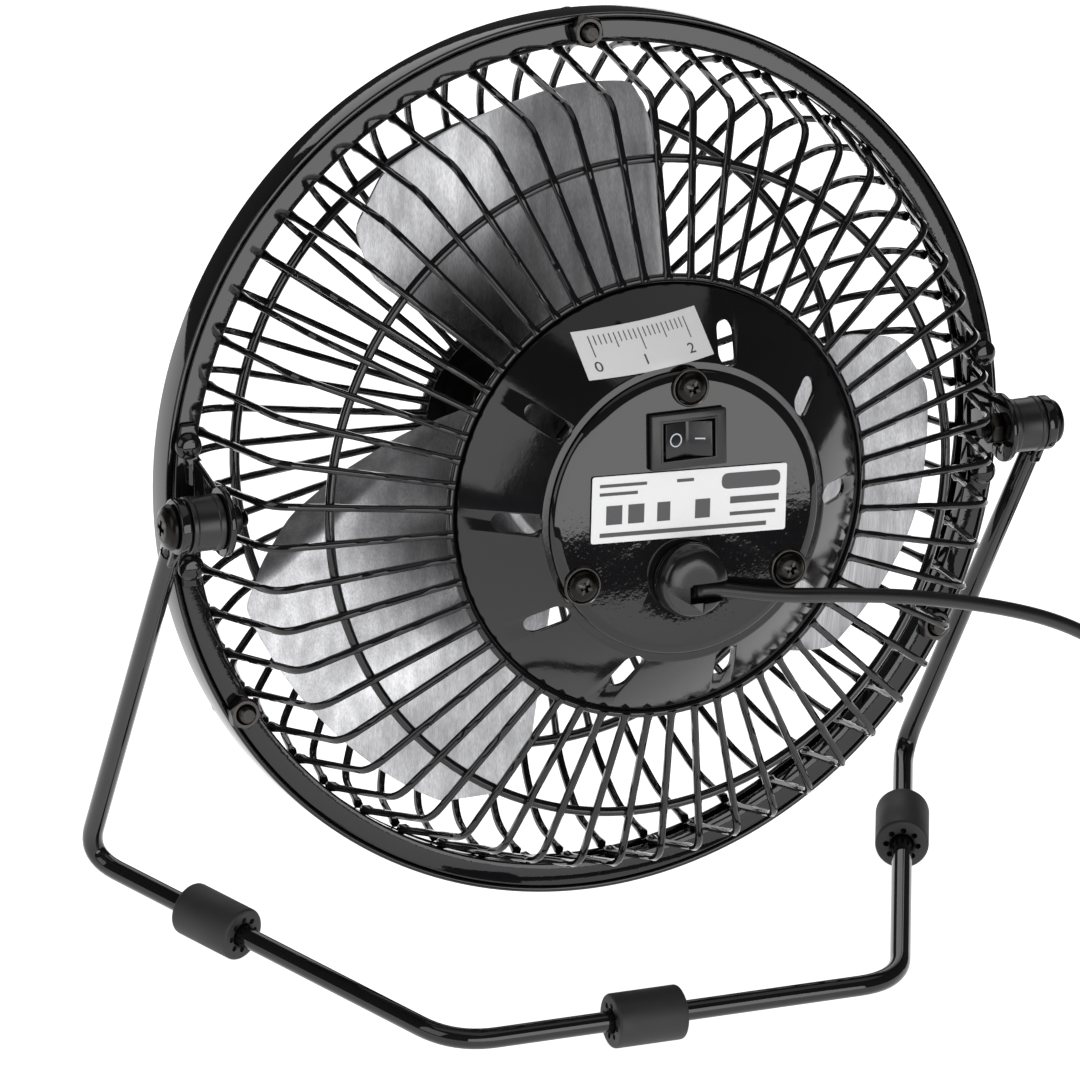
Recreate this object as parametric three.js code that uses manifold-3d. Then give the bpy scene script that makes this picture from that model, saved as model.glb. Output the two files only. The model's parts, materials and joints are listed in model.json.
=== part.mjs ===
// Small wire-guard desk fan on a bent-rod stand, with a USB cord.
// Millimetres, +Z up. The fan blows towards +Y; the switch and cord are on the -Y side.
// The origin is on the table, under the middle of the fan and stand.
//
// The head is drawn in a frame of its own: the fan axis is Y, Z is up in the head,
// and the origin is the middle of the guard's rear flange.
import * as THREE from "three";
import { mergeVertices } from "three/addons/utils/BufferGeometryUtils.js";
import Module from "manifold-3d";

const wasm = await Module();
wasm.setup();

// ---- driving dimensions -------------------------------------------------
const GAP = 0.3; // left between pieces that touch

// where the head hangs in the stand
const PIVOT_HEIGHT = 95;
const PIVOT_Y = -0.25;
const TILT_AT_REST = -12.2; // degrees, front of the fan dips
const PIVOT_BEHIND_RIM = 13.8; // pivot axis behind the rear flange

// guard rims
const RIM_RADIUS = 84.8;
const RIM_INNER = 79.2;
const RIM_DEPTH = 7.3;
const RIM_SHEET = 1.0;
const RIM_SIDES = 40;

// guard wires
const WIRES = 56;
const WIRE = 1.45;
const REAR_BEND_RADIUS = 72.9;
const REAR_BEND_Y = -22.5;
const MID_RING_RADIUS = 62;
const MID_RING = 1.8;
const FRONT_GUARD_Y = 31;
const BADGE_RADIUS = 21.2;

// rear plate and motor cover
const PLATE_RADIUS = 40.4;
const PLATE_EDGE_Y = -32.9;
const PLATE_FACE_Y = -44.2;
const PLATE_FACE_RADIUS = 28.3; // where the flat under the cover turns into the cone
const CONE_ANGLE = 43; // degrees
const PLATE_SHEET = 1.0;
const SLOTS = 10;
const SLOT_RADIUS = 31.8;
const SLOT_LENGTH = 7.5;
const SLOT_WIDTH = 3.8;
const SLOT_TURN = -1; // degrees
const PLATE_TURN = -2; // degrees, the plate is welded in slightly turned
const COVER_RADIUS = 27;
const COVER_FACE_Y = -45.7;
const COVER_SHEET = 1.2;

// switch, cord grip and stickers on the cover
const SWITCH_Z = 14.3;
const SWITCH_BEZEL = [15.1, 10.6];
const SWITCH_BODY = [12.6, 8.4];
const ROCKER = [9.8, 6.6];
const GRIP_Z = -12.2;
const GRIP_RADIUS = 7;
const CORD = 2.8;

// impeller and motor
const BLADES = 3;
const BLADE_RADIUS = 70.5;
const BLADE_PITCH = -15; // degrees about the blade's own radius
const BLADE_LEAD = 5; // degrees, how far the first blade stands past the top
const BLADE_SHEET = 0.8;
const MOTOR_RADIUS = 12.2;
const SHAFT_RADIUS = 1;

// pivots
const EAR_FACE = 79.8; // outer face of the bracket's ear
const EAR_SHEET = 1.2;
const SPACER_RADIUS = 5.3;
const BRACKET_SCREW_X = 80.9;
const BRACKET_SCREW_Z = 11.6;
const EYE_FACE = 86.8; // inner face of the rod's flattened end
const EYE_THICK = 2;
const BOLT_RADIUS = 1.5;
const BOLT_HOLE = 1.85;

// stand
const ROD = 4;
const FRONT_CORNER = [85.7, 40.4];
const REAR_CORNER = [45.4, -46.4];
const BEND_RADIUS = 9;
const FOOT_RADIUS = 5.25;
const FOOT_LENGTH = 14;
const SIDE_FOOT_SHARE = 0.36; // of the way from the front corner to the rear corner
const REAR_FOOT_X = -7;

// cord: a coil and a plug on the table, to the right of the fan
const COIL_CENTRE = [138, -6];
const COIL_RADIUS = 16;
const COIL_WIDTH = 9;
const COIL_BOTTOM = 1.2;
const COIL_HEIGHT = 8.4;
const PLUG_Z = 3.9;

// ---- materials ------------------------------------------------------------
const finish = (color, roughness, metalness) =>
  new THREE.MeshStandardMaterial({ color, roughness, metalness });
const blackPaint = finish(0x111114, 0.25, 0.2);
const blackPlastic = finish(0x17171a, 0.55, 0);
const blackRubber = finish(0x1d1d1f, 0.85, 0);
const darkSteel = finish(0x222226, 0.35, 0.8);
const aluminium = finish(0xb9bbbe, 0.4, 1);
const plainSteel = finish(0x9c9da0, 0.35, 1);
const brass = finish(0xb08d4a, 0.4, 1);
const paper = finish(0xf2f2f0, 0.6, 0);
const copperLead = finish(0x8c1c18, 0.5, 0);
const cordSkin = finish(0x141416, 0.5, 0);

// ---- small tools ------------------------------------------------------------
const radians = (degrees) => (degrees * Math.PI) / 180;
const v2 = (x, y) => new THREE.Vector2(x, y);
const v3 = (x, y, z) => new THREE.Vector3(x, y, z);
const polar = (radius, degrees) => [radius * Math.cos(radians(degrees)), radius * Math.sin(radians(degrees))];

/** Vertices merged, and every face pointing out. */
function closed(geometry) {
  const bare = geometry.clone();
  for (const name of ["normal", "uv"]) bare.deleteAttribute(name);
  const merged = mergeVertices(bare, 1e-4);
  const at = merged.attributes.position;
  const index = Array.from(merged.index.array);
  const [a, b, c] = [v3(0, 0, 0), v3(0, 0, 0), v3(0, 0, 0)];
  let volume = 0;
  for (let i = 0; i < index.length; i += 3) {
    a.fromBufferAttribute(at, index[i]);
    b.fromBufferAttribute(at, index[i + 1]);
    c.fromBufferAttribute(at, index[i + 2]);
    volume += a.dot(b.cross(c));
  }
  if (volume < 0) index.reverse();
  merged.setIndex(index);
  return merged;
}

function solid(geometry) {
  const merged = closed(geometry);
  return new wasm.Manifold(new wasm.Mesh({
    numProp: 3,
    vertProperties: new Float32Array(merged.attributes.position.array),
    triVerts: new Uint32Array(merged.index.array),
  }));
}

function geometryOf(body) {
  const { vertProperties, triVerts } = body.getMesh();
  const geometry = new THREE.BufferGeometry();
  geometry.setAttribute("position", new THREE.BufferAttribute(vertProperties, 3));
  geometry.setIndex(new THREE.BufferAttribute(triVerts, 1));
  return geometry;
}

/** One piece with others added to it and then cut from it. */
function joined(base, added = [], cut = []) {
  let body = solid(base);
  for (const geometry of added) body = body.add(solid(geometry));
  for (const geometry of cut) body = body.subtract(solid(geometry));
  return geometryOf(body);
}

/** A ring or disc turned about the Y axis from [radius, y] points. */
const turned = (points, sides) =>
  new THREE.LatheGeometry([...points, points[0]].map(([r, y]) => v2(r, y)), sides);

/** A turned piece whose outline starts and ends on the axis. */
const turnedSolid = (points, sides) =>
  new THREE.LatheGeometry(points.map(([r, y]) => v2(r, y)), sides);

/** The same about X, pointing towards +X (or -X). */
const alongX = (geometry, side = 1) => geometry.rotateZ(side > 0 ? -Math.PI / 2 : Math.PI / 2);

const rod = (radius, from, to, sides = 12) =>
  new THREE.CylinderGeometry(radius, radius, to - from, sides).translate(0, (from + to) / 2, 0);

const block = (x0, x1, y0, y1, z0, z1) =>
  new THREE.BoxGeometry(x1 - x0, y1 - y0, z1 - z0).translate((x0 + x1) / 2, (y0 + y1) / 2, (z0 + z1) / 2);

/** An outline in the XZ plane given thickness along Y, from y0 to y1. */
function plate(points, y0, y1) {
  const shape = new THREE.Shape(points.map(([x, z]) => v2(x, z)));
  const geometry = new THREE.ExtrudeGeometry(shape, { depth: y1 - y0, bevelEnabled: false });
  return geometry.rotateX(Math.PI / 2).translate(0, y1, 0);
}

/** Corners of a slot with round ends, centred on the origin, long in X. */
function slotOutline(length, width) {
  const radius = width / 2;
  const points = [];
  for (const side of [1, -1]) {
    for (let turn = -90; turn <= 90; turn += 45) {
      const angle = radians(turn + (side > 0 ? 0 : 180));
      points.push([side * (length / 2 - radius) + radius * Math.cos(angle), radius * Math.sin(angle)]);
    }
  }
  return points;
}

/** A path that keeps exactly the points it is given, for bent rod and cord. */
class Route extends THREE.Curve {
  constructor(points) {
    super();
    this.points = points;
  }
  getPoint(t, target = v3(0, 0, 0)) {
    const at = t * (this.points.length - 1);
    const index = Math.min(Math.floor(at), this.points.length - 2);
    return target.lerpVectors(this.points[index], this.points[index + 1], at - index);
  }
  getPointAt(u, target) {
    return this.getPoint(u, target);
  }
  getTangentAt(u, target = v3(0, 0, 0)) {
    const index = Math.round(u * (this.points.length - 1));
    const before = this.points[Math.max(index - 1, 0)];
    const after = this.points[Math.min(index + 1, this.points.length - 1)];
    return target.subVectors(after, before).normalize();
  }
}

/** A round bar through the given points. */
function bar(points, radius, sides) {
  const ring = [];
  for (let i = 0; i < sides; i += 1) {
    const angle = (2 * Math.PI * (i + 0.5)) / sides;
    ring.push(v2(radius * Math.cos(angle), radius * Math.sin(angle)));
  }
  const path = new Route(points);
  return new THREE.ExtrudeGeometry(new THREE.Shape(ring), { steps: points.length - 1, extrudePath: path });
}

/** Straight runs between corners, with each inner corner rounded. */
function rounded(corners, radius, steps) {
  const points = [corners[0]];
  for (let i = 1; i < corners.length - 1; i += 1) {
    const back = corners[i - 1].clone().sub(corners[i]).normalize();
    const on = corners[i + 1].clone().sub(corners[i]).normalize();
    const half = back.angleTo(on) / 2;
    const reach = radius / Math.tan(half);
    const inward = back.clone().add(on).normalize();
    const middle = corners[i].clone().addScaledVector(inward, radius / Math.sin(half));
    const first = corners[i].clone().addScaledVector(back, reach).sub(middle);
    const last = corners[i].clone().addScaledVector(on, reach).sub(middle);
    const sweep = first.angleTo(last);
    for (let k = 0; k <= steps; k += 1) {
      const share = k / steps;
      const from = Math.sin((1 - share) * sweep) / Math.sin(sweep);
      const to = Math.sin(share * sweep) / Math.sin(sweep);
      points.push(middle.clone().addScaledVector(first, from).addScaledVector(last, to));
    }
  }
  points.push(corners[corners.length - 1]);
  return points;
}

// ---- assembly ---------------------------------------------------------------
const fan = new THREE.Group();
const tilted = new THREE.Group();
tilted.position.set(0, PIVOT_Y, PIVOT_HEIGHT);
tilted.rotation.x = radians(TILT_AT_REST);
const head = new THREE.Group();
head.position.y = PIVOT_BEHIND_RIM;
tilted.add(head);
fan.add(tilted);

function piece(name, geometry, material, parent) {
  const mesh = new THREE.Mesh(closed(geometry), material);
  mesh.name = name;
  parent.add(mesh);
  return mesh;
}

// ---- stand --------------------------------------------------------------------
const FLOOR_Z = FOOT_RADIUS; // height of the rod's centre line on the table

function standRod() {
  const flatLength = 9; // the rod's ends are pressed flat and drilled
  const flatWidth = 5.2;
  const eyeX = EYE_FACE + EYE_THICK / 2;
  const corner = ([x, y], side) => v3(side * x, PIVOT_Y + y, FLOOR_Z);
  const pivot = (side) => v3(side * eyeX, PIVOT_Y, PIVOT_HEIGHT);
  const armTop = (side) => {
    const down = corner(FRONT_CORNER, side).sub(pivot(side)).normalize();
    return pivot(side).addScaledVector(down, flatLength - 1.5);
  };
  const corners = [
    armTop(-1),
    corner(FRONT_CORNER, -1),
    corner(REAR_CORNER, -1),
    corner(REAR_CORNER, 1),
    corner(FRONT_CORNER, 1),
    armTop(1),
  ];
  const wire = bar(rounded(corners, BEND_RADIUS, 4), ROD / 2, 8);
  const lean = Math.atan2(FRONT_CORNER[1], PIVOT_HEIGHT - FLOOR_Z);
  const ends = [];
  const holes = [];
  for (const side of [-1, 1]) {
    const halfThick = EYE_THICK / 2;
    const flat = block(eyeX - halfThick, eyeX + halfThick, -flatWidth / 2, flatWidth / 2, -flatLength, 0);
    if (side < 0) flat.translate(-2 * eyeX, 0, 0);
    ends.push(flat.rotateX(lean).translate(0, PIVOT_Y, PIVOT_HEIGHT));
    const place = (geometry) => alongX(geometry, side).translate(0, PIVOT_Y, PIVOT_HEIGHT);
    ends.push(place(rod(5.2, EYE_FACE, EYE_FACE + EYE_THICK, 16)));
    holes.push(place(rod(BOLT_HOLE, EYE_FACE - 2, EYE_FACE + EYE_THICK + 2, 12)));
  }
  return joined(wire, ends, holes);
}

/** Rubber sleeve round the rod, with a flat facet on the table. */
function foot(x, y, heading) {
  const sides = 12;
  const outer = FOOT_RADIUS / Math.cos(Math.PI / sides);
  const bore = ROD / 2 + GAP + 0.1;
  const half = FOOT_LENGTH / 2;
  const ring = turned([[bore, -half], [outer, -half], [outer, half], [bore, half]], sides);
  // a facet, not an edge, points down once the sleeve lies along its rod
  ring.rotateY(Math.PI / sides);
  return ring.rotateZ(radians(heading)).translate(x, y, FLOOR_Z);
}

piece("stand_rod", standRod(), blackPaint, fan);

const sideRun = [REAR_CORNER[0] - FRONT_CORNER[0], REAR_CORNER[1] - FRONT_CORNER[1]];
const footX = FRONT_CORNER[0] + SIDE_FOOT_SHARE * sideRun[0];
const footY = PIVOT_Y + FRONT_CORNER[1] + SIDE_FOOT_SHARE * sideRun[1];
const footTurn = THREE.MathUtils.radToDeg(Math.atan2(sideRun[0], -sideRun[1]));
piece("foot_left", foot(-footX, footY, -footTurn), blackRubber, fan);
piece("foot_right", foot(footX, footY, footTurn), blackRubber, fan);
piece("foot_rear", foot(REAR_FOOT_X, PIVOT_Y + REAR_CORNER[1], 90), blackRubber, fan);

// ---- pivots -------------------------------------------------------------------
function pivotScrew() {
  const start = 74.4;
  const seat = EYE_FACE + EYE_THICK + GAP;
  return turnedSolid([
    [0, start], [BOLT_RADIUS, start], [BOLT_RADIUS, seat], [4.4, seat],
    [4.4, seat + 0.7], [3.2, seat + 1.9], [0, seat + 2.2],
  ], 12);
}

function pivotNut() {
  const earInside = EAR_FACE - EAR_SHEET - GAP;
  const hex = rod(2.75 / Math.cos(Math.PI / 6), earInside - 2.3, earInside, 6);
  return joined(hex, [], [rod(BOLT_HOLE, 70, 82, 8)]);
}

function pivotSpacer() {
  return turned([
    [BOLT_HOLE, EAR_FACE + GAP], [SPACER_RADIUS, EAR_FACE + GAP],
    [SPACER_RADIUS, EYE_FACE - GAP], [BOLT_HOLE, EYE_FACE - GAP],
  ], 14);
}

/** Angle bracket: a tab on the rear flange and an ear that reaches back to the pivot. */
function pivotBracket(side) {
  const earRadius = 6.6;
  const tabHalf = 15.5;
  const earRoot = 9;
  const tabOuter = Math.sqrt(83.6 ** 2 - tabHalf ** 2);
  const tab = plate([
    [EAR_FACE - EAR_SHEET, -tabHalf], [tabOuter, -tabHalf], [83.6, -5], [83.6, 5],
    [tabOuter, tabHalf], [EAR_FACE - EAR_SHEET, tabHalf],
  ], -GAP - EAR_SHEET, -GAP);
  const outline = [[-GAP, -earRoot], [-GAP, earRoot]];
  for (let turn = 60; turn <= 300; turn += 30) {
    const [y, z] = polar(earRadius, turn);
    outline.push([y - PIVOT_BEHIND_RIM, z]);
  }
  const ear = new THREE.ExtrudeGeometry(
    new THREE.Shape(outline.map(([y, z]) => v2(y, z))),
    { depth: EAR_SHEET, bevelEnabled: false },
  );
  // the shape's own axes become Y and Z
  ear.applyMatrix4(new THREE.Matrix4().makeBasis(v3(0, 1, 0), v3(0, 0, 1), v3(1, 0, 0)));
  ear.translate(EAR_FACE - EAR_SHEET, 0, 0);
  const pivotHole = alongX(rod(BOLT_HOLE, 70, 90, 12)).translate(0, -PIVOT_BEHIND_RIM, 0);
  const screwHoles = [-1, 1].map((end) => (
    rod(1.6, -4, 4, 8).translate(BRACKET_SCREW_X, 0, end * BRACKET_SCREW_Z)
  ));
  const bracket = joined(tab, [ear], [pivotHole, ...screwHoles]);
  return side > 0 ? bracket : bracket.rotateY(Math.PI);
}

/** Small dome-head screw that points forward into the flange. */
const domeScrew = (headRadius, headHeight, length, seat) => turnedSolid([
  [0, seat - headHeight], [headRadius * 0.62, seat - headHeight * 0.8], [headRadius, seat - 0.3],
  [headRadius, seat], [1.2, seat], [1.2, seat + length], [0, seat + length],
], 8);

for (const [word, side] of [["left", -1], ["right", 1]]) {
  const onPivot = (geometry) => alongX(geometry, side).translate(0, PIVOT_Y, PIVOT_HEIGHT);
  piece(`pivot_screw_${word}`, onPivot(pivotScrew()), darkSteel, fan);
  piece(`pivot_spacer_${word}`, onPivot(pivotSpacer()), blackPlastic, fan);
  piece(`pivot_nut_${word}`, onPivot(pivotNut()), plainSteel, fan);
  piece(`pivot_bracket_${word}`, pivotBracket(side), blackPaint, head);
  for (const [level, end] of [["upper", 1], ["lower", -1]]) {
    const screw = domeScrew(2.6, 1.6, 1.2, -2 * GAP - EAR_SHEET);
    screw.translate(side * BRACKET_SCREW_X, 0, end * BRACKET_SCREW_Z);
    piece(`bracket_screw_${word}_${level}`, screw, blackPaint, head);
  }
}

// ---- guard rims ------------------------------------------------------------------
const BOLT_CIRCLE = 81.8;
const boltAngles = [90, 210, 330];
const atBolt = (geometry, degrees) => {
  const [x, z] = polar(BOLT_CIRCLE, degrees);
  return geometry.translate(x, 0, z);
};

/** Rear rim: a flat flange with a short inner skirt. */
function rearRim() {
  const outer = RIM_RADIUS - RIM_SHEET - GAP;
  const ring = turned([
    [RIM_INNER, 0], [outer, 0], [outer, RIM_SHEET], [RIM_INNER + RIM_SHEET, RIM_SHEET],
    [RIM_INNER + RIM_SHEET, 3.4], [RIM_INNER, 3.4],
  ], RIM_SIDES);
  return joined(ring, [], rimHoles());
}

/** Front rim: a hoop round the rear rim, with a web that the bolts pull on. */
function frontRim() {
  const ring = turned([
    [RIM_INNER, RIM_DEPTH - RIM_SHEET], [RIM_RADIUS - RIM_SHEET, RIM_DEPTH - RIM_SHEET],
    [RIM_RADIUS - RIM_SHEET, 0], [RIM_RADIUS, 0], [RIM_RADIUS, RIM_DEPTH], [RIM_INNER, RIM_DEPTH],
  ], RIM_SIDES);
  return joined(ring, [], rimHoles());
}

function rimHoles() {
  return boltAngles.map((degrees) => atBolt(rod(BOLT_HOLE, -5, 12, 8), degrees));
}

piece("rear_rim", rearRim(), blackPaint, head);
piece("front_rim", frontRim(), blackPaint, head);

/** Bolt with its head on the front rim and its end through the nut behind. */
const guardBolt = () => turnedSolid([
  [0, -4], [BOLT_RADIUS, -4], [BOLT_RADIUS, RIM_DEPTH + GAP], [2.9, RIM_DEPTH + GAP],
  [2.9, RIM_DEPTH + 1.1], [1.9, RIM_DEPTH + 2.1], [0, RIM_DEPTH + 2.3],
], 8);
const guardNut = () =>
  joined(rod(2.75 / Math.cos(Math.PI / 6), -GAP - 2.4, -GAP, 6), [], [rod(BOLT_HOLE, -9, 9, 8)]);
const boltPlaces = ["top", "left", "right"];
boltAngles.forEach((degrees, i) => {
  piece(`guard_bolt_${boltPlaces[i]}`, atBolt(guardBolt(), degrees), darkSteel, head);
  piece(`guard_nut_${boltPlaces[i]}`, atBolt(guardNut(), degrees), darkSteel, head);
});

// ---- guard wires --------------------------------------------------------------------
/**
 * A dished grid: a turned sheet one wire thick, with windows cut between wires and rings.
 * Each band of windows is [inner radius, outer radius, lowest y, highest y].
 */
function wireGrid(line, bands) {
  const normalAt = (i) => {
    const before = line[Math.max(i - 1, 0)];
    const after = line[Math.min(i + 1, line.length - 1)];
    return v2(before[1] - after[1], after[0] - before[0]).normalize();
  };
  const side = (sign) => line.map(([r, y], i) => {
    const normal = normalAt(i);
    return [r + (sign * normal.x * WIRE) / 2, y + (sign * normal.y * WIRE) / 2];
  });
  const sheet = turned([...side(1), ...side(-1).reverse()], WIRES / 2);
  const pitch = 360 / WIRES;
  const windows = [];
  for (let i = 0; i < WIRES; i += 1) {
    for (const [inner, outer, lowest, highest] of bands) {
      const edge = (radius, degrees, offset) => {
        const [x, z] = polar(radius, degrees);
        return [x - offset * Math.sin(radians(degrees)), z + offset * Math.cos(radians(degrees))];
      };
      const [low, high] = [pitch * (i + 0.5), pitch * (i + 1.5)];
      windows.push(plate([
        edge(inner, low, WIRE / 2), edge(outer, low, WIRE / 2),
        edge(outer, high, -WIRE / 2), edge(inner, high, -WIRE / 2),
      ], lowest, highest));
    }
  }
  const cutter = wasm.Manifold.compose(windows.map(solid));
  return geometryOf(solid(sheet).subtract(cutter));
}

const WIRE_START = RIM_INNER - GAP - WIRE / 2;
const ringHalf = MID_RING / 2;
const outside = RIM_RADIUS + 5;
const rearLine = [
  [WIRE_START, 1], [REAR_BEND_RADIUS + 1.2, REAR_BEND_Y + 4.2],
  [REAR_BEND_RADIUS - 3.4, REAR_BEND_Y - 1.1], [PLATE_RADIUS + GAP + WIRE / 2, PLATE_EDGE_Y + 0.4],
];
const frontLine = [
  [WIRE_START, RIM_DEPTH - 1.6], [75.6, 17], [66, 24.6], [BADGE_RADIUS - 1, FRONT_GUARD_Y],
];
piece("rear_guard_wires", wireGrid(rearLine, [
  [PLATE_RADIUS + GAP + WIRE + 0.2, MID_RING_RADIUS - ringHalf, -50, 0],
  [MID_RING_RADIUS + ringHalf, outside, -50, -0.8],
]), blackPaint, head);
piece("front_guard_wires", wireGrid(frontLine, [
  [BADGE_RADIUS + 0.6, MID_RING_RADIUS - ringHalf, 0, 50],
  [MID_RING_RADIUS + ringHalf, outside, RIM_DEPTH + 0.2, 50],
]), blackPaint, head);

const badgeBack = FRONT_GUARD_Y + WIRE / 2 + GAP;
piece("front_badge", turnedSolid([
  [0, badgeBack], [BADGE_RADIUS, badgeBack], [BADGE_RADIUS, badgeBack + 0.8],
  [BADGE_RADIUS - 2, badgeBack + 2], [0, badgeBack + 2.6],
], 32), blackPaint, head);

// ---- rear plate and motor cover ---------------------------------------------------------
const PLATE_OPENING = 21.5;
const SCREW_CIRCLE = 23.9;
const SCREW_HOLE = 1.6;
const COVER_SCREW_LENGTH = 2.8;
const screwAngles = [90, 210, 330].map((degrees) => degrees + PLATE_TURN);

const screwHole = (degrees) => {
  const [x, z] = polar(SCREW_CIRCLE, degrees);
  return rod(SCREW_HOLE, -60, -35, 8).translate(x, 0, z);
};

/** Steep steel cone with a ring of cooling slots and a flat middle that carries the cover. */
function rearPlate() {
  const inside = PLATE_FACE_Y + PLATE_SHEET;
  const coneEdge = PLATE_SHEET * 1.45; // the sheet's thickness, measured along the radius
  const dish = turned([
    [PLATE_OPENING, PLATE_FACE_Y], [PLATE_FACE_RADIUS, PLATE_FACE_Y], [PLATE_RADIUS, PLATE_EDGE_Y],
    [PLATE_RADIUS - coneEdge, PLATE_EDGE_Y], [PLATE_FACE_RADIUS - 0.4, inside], [PLATE_OPENING, inside],
  ], 40);
  const cuts = screwAngles.map(screwHole);
  for (let i = 0; i < SLOTS; i += 1) {
    const slot = plate(slotOutline(SLOT_LENGTH, SLOT_WIDTH), -60, -30).translate(SLOT_RADIUS, 0, 0);
    cuts.push(slot.rotateY(-radians((360 / SLOTS) * i + SLOT_TURN)));
  }
  return joined(dish, [], cuts);
}

/** Pressed disc over the motor: it holds the switch, the cord grip and three screws. */
function motorCover() {
  const back = COVER_FACE_Y + COVER_SHEET;
  const cap = turnedSolid([
    [0, COVER_FACE_Y], [COVER_RADIUS - 2, COVER_FACE_Y], [COVER_RADIUS - 0.6, COVER_FACE_Y + 0.5],
    [COVER_RADIUS, back], [0, back],
  ], 32);
  const [bodyWidth, bodyHeight] = SWITCH_BODY;
  const halfWidth = bodyWidth / 2 + GAP;
  const halfHeight = bodyHeight / 2 + GAP;
  const cuts = [
    block(-halfWidth, halfWidth, -60, -35, SWITCH_Z - halfHeight, SWITCH_Z + halfHeight),
    rod(GRIP_RADIUS - 1.2, -60, -35, 16).translate(0, 0, GRIP_Z),
    ...screwAngles.map(screwHole),
  ];
  return joined(cap, [], cuts);
}

piece("rear_plate", rearPlate(), blackPaint, head);
piece("motor_cover", motorCover(), blackPaint, head);
screwAngles.forEach((degrees, i) => {
  const [x, z] = polar(SCREW_CIRCLE, degrees);
  const screw = domeScrew(3, 1.5, COVER_SCREW_LENGTH, COVER_FACE_Y - GAP).translate(x, 0, z);
  piece(`cover_screw_${boltPlaces[i]}`, screw, darkSteel, head);
});

// ---- rocker switch ------------------------------------------------------------------------
const bezelFace = COVER_FACE_Y - GAP - 1.1;
const ROCK_DEPTH = 0.7; // how far the rocker's axis lies inside the bezel's face
const ROCKER_REST = 8; // degrees, rocked to its off side

function switchBody() {
  const [bezelWidth, bezelHeight] = SWITCH_BEZEL;
  const [bodyWidth, bodyHeight] = SWITCH_BODY;
  const [rockerWidth, rockerHeight] = ROCKER;
  const seat = COVER_FACE_Y - GAP;
  const rim = block(-bezelWidth / 2, bezelWidth / 2, bezelFace, seat, -bezelHeight / 2, bezelHeight / 2);
  const box = block(-bodyWidth / 2, bodyWidth / 2, seat - 0.2, -38.5, -bodyHeight / 2, bodyHeight / 2);
  const well = block(-rockerWidth / 2 - GAP, rockerWidth / 2 + GAP, bezelFace - 2, bezelFace + 4.4,
    -rockerHeight / 2 - GAP, rockerHeight / 2 + GAP);
  const terminals = [-3, 3].map((x) => block(x - 0.4, x + 0.4, -38.7, -35.2, -1.4, 1.4));
  return joined(rim, [box, ...terminals], [well]).translate(0, 0, SWITCH_Z);
}

/** The rocker's face is a shallow V; its back is round, about the rocking axis. */
function switchRocker() {
  const [width, height] = ROCKER;
  const half = width / 2 - 0.35;
  const outline = [
    [-half, -0.9], [0, 0.55], [half, -0.9], [half - 0.5, 0.9], [2, 2.1], [-2, 2.1], [-half + 0.5, 0.9],
  ];
  const shape = new THREE.Shape(outline.map(([x, y]) => v2(x, y)));
  const rocker = new THREE.ExtrudeGeometry(shape, { depth: height, bevelEnabled: false });
  return rocker.translate(0, 0, -height / 2);
}

piece("switch_body", switchBody(), blackPlastic, head);
const rocker = piece("switch_rocker", switchRocker(), blackPlastic, head);
rocker.rotation.z = radians(-ROCKER_REST);
rocker.position.set(0, bezelFace + ROCK_DEPTH, SWITCH_Z);

// ---- cord grip -------------------------------------------------------------------------------
const CORD_EXIT_Y = -48.6;
/** Round strain relief: the cord turns inside it and leaves through a slot towards +X. */
function cordGrip() {
  const face = COVER_FACE_Y - GAP;
  const knob = turnedSolid([
    [0, face - 5], [GRIP_RADIUS - 1.6, face - 5], [GRIP_RADIUS, face - 3.6], [GRIP_RADIUS, face],
    [GRIP_RADIUS - 1.6, face], [GRIP_RADIUS - 1.6, face + 3.4], [0, face + 3.4],
  ], 20);
  const slot = block(-1.2, 12, CORD_EXIT_Y - 1.9, CORD_EXIT_Y + 1.9, -3.8, 0);
  return joined(knob, [], [slot]).translate(0, 0, GRIP_Z);
}
piece("cord_grip", cordGrip(), blackPlastic, head);

// ---- stickers ------------------------------------------------------------------------------------
const stickerFace = COVER_FACE_Y - GAP;
const label = block(-19.5, 19.5, stickerFace - 0.15, stickerFace, -6.3, 6.3);
piece("rating_label", label.rotateY(radians(-PLATE_TURN + 0.3)).translate(0.3, 0, 2), paper, head);

/** Small ruler sticker that lies on the cone, above the cover. */
const SCALE_TURN = 6.5; // degrees about the shaft
const scale = block(-14.4, 10, -0.15, 0, 0, 10.6).rotateX(-radians(CONE_ANGLE));
scale.translate(0, PLATE_FACE_Y + 0.34, PLATE_FACE_RADIUS + 0.8);
piece("scale_sticker", scale.rotateY(-radians(SCALE_TURN)), paper, head);

// ---- motor -----------------------------------------------------------------------------------------
const MOTOR_BACK = -34.2;
const MOTOR_FRONT = -10;
piece("motor_can", joined(
  rod(MOTOR_RADIUS, MOTOR_BACK, MOTOR_FRONT, 20),
  [rod(3.1, MOTOR_FRONT - 1, MOTOR_FRONT + 1.6, 12)],
  [rod(SHAFT_RADIUS + GAP + 0.1, MOTOR_FRONT - 9, MOTOR_FRONT + 4, 10)],
), plainSteel, head);

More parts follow.
